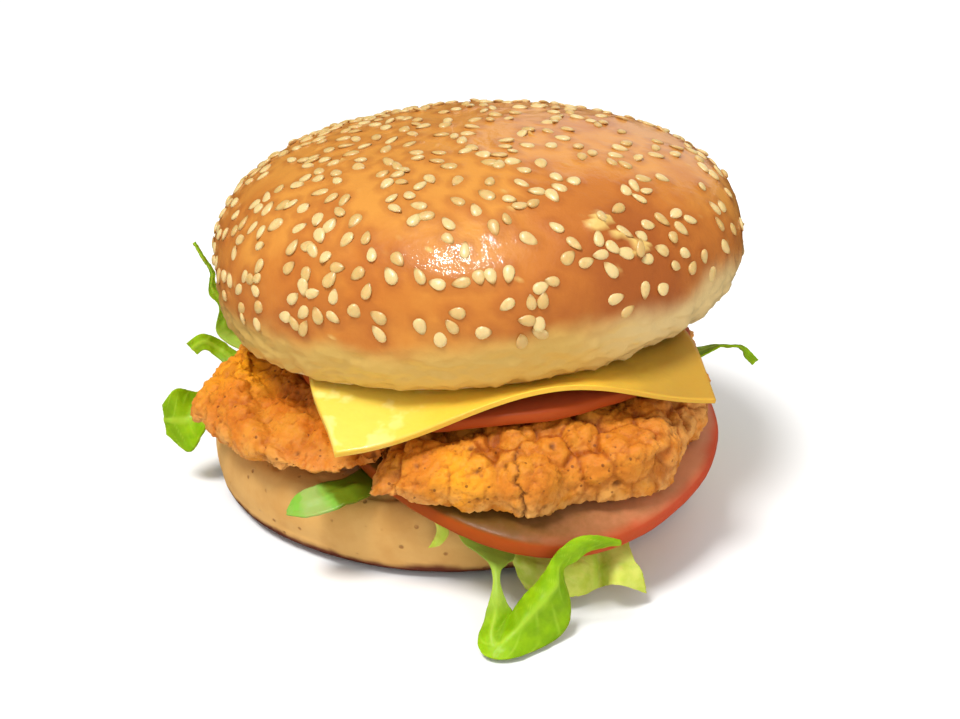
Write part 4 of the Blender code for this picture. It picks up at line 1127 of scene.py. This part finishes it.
def sheen_and_shade_leaf_look():
    """A leaf, painted dark at its root as shade, with a pale patch before its tip painted as a wet
    sheen.
    """
    look = Look("lettuce_sheen_and_shade", Roughness=0.3, Specular_IOR_Level=0.2, Coat_Weight=0.1,
                Coat_Roughness=0.15, Subsurface_Weight=0.25, Subsurface_Scale=0.0015)
    patches = look.noise(3.5 * MM, 3.0)
    mint = look.blend(look.between(patches, 0.4, 0.6), LEAF_MINT, LEAF_MINT_DEEP)
    out = look.mottled("out", patches, 0.14)
    # painted highlight: a pale sheen patch before the tip
    sheen_patch = look.part(look.between(out, 0.68, 0.74), look.between(out, 0.92, 0.84))
    mint = look.blend(look.part(sheen_patch, 0.8), mint, LEAF_PAINTED_SHEEN)
    # painted shade at the root, where the leaf runs under the chicken
    look.colour(look.blend(look.between(out, 0.7, 0.62), mint, LEAF_ROOT_SHADE))
    look.bump((look.noise(2.0 * MM, 3.0), 0.2 * MM, 0.4))
    return look.material


def make_lettuce():
    looks = {
        "green": (leaf_look("lettuce_green", LEAF_GREEN, LEAF_DEEP, 0.08), "lettuce"),
        "pale": (leaf_look("lettuce_pale", LEAF_PALE, LEAF_PALE_DEEP, 0.05), "lettuce_pale"),
        "sheen_and_shade": (sheen_and_shade_leaf_look(), "lettuce"),
    }
    for name, (look, rib, rib_range, ragged, rows) in LEAVES.items():
        mesh = leaf_mesh(rows, rib, rib_range, ragged)
        add_piece("leaf_" + name, mesh, *looks[look], "lettuce_" + name)


# ---- stage

# Lights' powers are in watts, but for the key, which is a sun.
CAMERA_PLACE = Vector((5.24, -258.4, 132.0)) * MM
CAMERA_DOWN = math.radians(22.65)  # below level
CAMERA_LENS = 47.2  # mm
CAMERA_NEAR = 0.01
FLOOR_SIZE = 6.0
SKY = 0.6
KEY_FROM = Vector((-0.33, -0.26, 0.9))
KEY_ANGLE = math.radians(19.0)
KEY_POWER = 2.8
FILL_PLACE = Vector((0.7, -1.5, 0.7))
FILL_SIZE = 1.2
FILL_POWER = 7.5
GLINT_PLACE = Vector((-0.08, -0.30, 0.95)) * 1.5
GLINT_SIZE = (0.06, 0.5)
GLINT_POWER = 19.0
BACK_PLACE = Vector((0.7, 2.0, 0.95))
BACK_SIZE = 1.7
BACK_POWER = 5.5


def add_light(name, kind, place, energy, gloss, **settings):
    """A light that shows only in glossy surfaces, or in none of them."""
    light = bpy.data.lights.new(name, kind)
    light.energy = energy
    for setting, value in settings.items():
        setattr(light, setting, value)
    holder = bpy.data.objects.new(name, light)
    holder.location = place
    holder.rotation_euler = (-place).to_track_quat("-Z", "Y").to_euler()
    holder.visible_glossy = gloss
    holder.visible_diffuse = not gloss
    bpy.context.scene.collection.objects.link(holder)


def make_stage():
    bpy.ops.mesh.primitive_plane_add(size=FLOOR_SIZE)
    floor = bpy.context.object
    floor.name = "floor"
    look = Look("floor", Roughness=0.5)
    look.colour(look.blend(look.noise(0.3, 2.0), FLOOR_WHITE, FLOOR_GREY))
    floor.data.materials.append(look.material)
    floor.visible_glossy = False

    camera = bpy.data.objects.new("camera", bpy.data.cameras.new("camera"))
    camera.location = CAMERA_PLACE
    camera.rotation_euler = (math.pi / 2.0 - CAMERA_DOWN, 0.0, 0.0)
    camera.data.lens = CAMERA_LENS
    camera.data.clip_start = CAMERA_NEAR
    bpy.context.scene.collection.objects.link(camera)
    bpy.context.scene.camera = camera

    add_light("key", "SUN", KEY_FROM, KEY_POWER, False, angle=KEY_ANGLE)
    add_light("fill", "AREA", FILL_PLACE, FILL_POWER, False, shape="DISK", size=FILL_SIZE)
    add_light("glint", "AREA", GLINT_PLACE, GLINT_POWER, True, shape="RECTANGLE",
              size=GLINT_SIZE[0], size_y=GLINT_SIZE[1])
    add_light("back", "AREA", BACK_PLACE, BACK_POWER, True, shape="DISK", size=BACK_SIZE)

    world = bpy.data.worlds.new("studio")
    world.use_nodes = True
    background = world.node_tree.nodes["Background"]
    background.inputs["Color"].default_value = (1.0, 1.0, 1.0, 1.0)
    background.inputs["Strength"].default_value = SKY
    world.cycles_visibility.glossy = False
    bpy.context.scene.world = world
    bpy.context.scene.view_settings.view_transform = "Standard"


make_stage()
make_bun()
make_chicken()
make_tomatoes()
make_cheese()
make_lettuce()
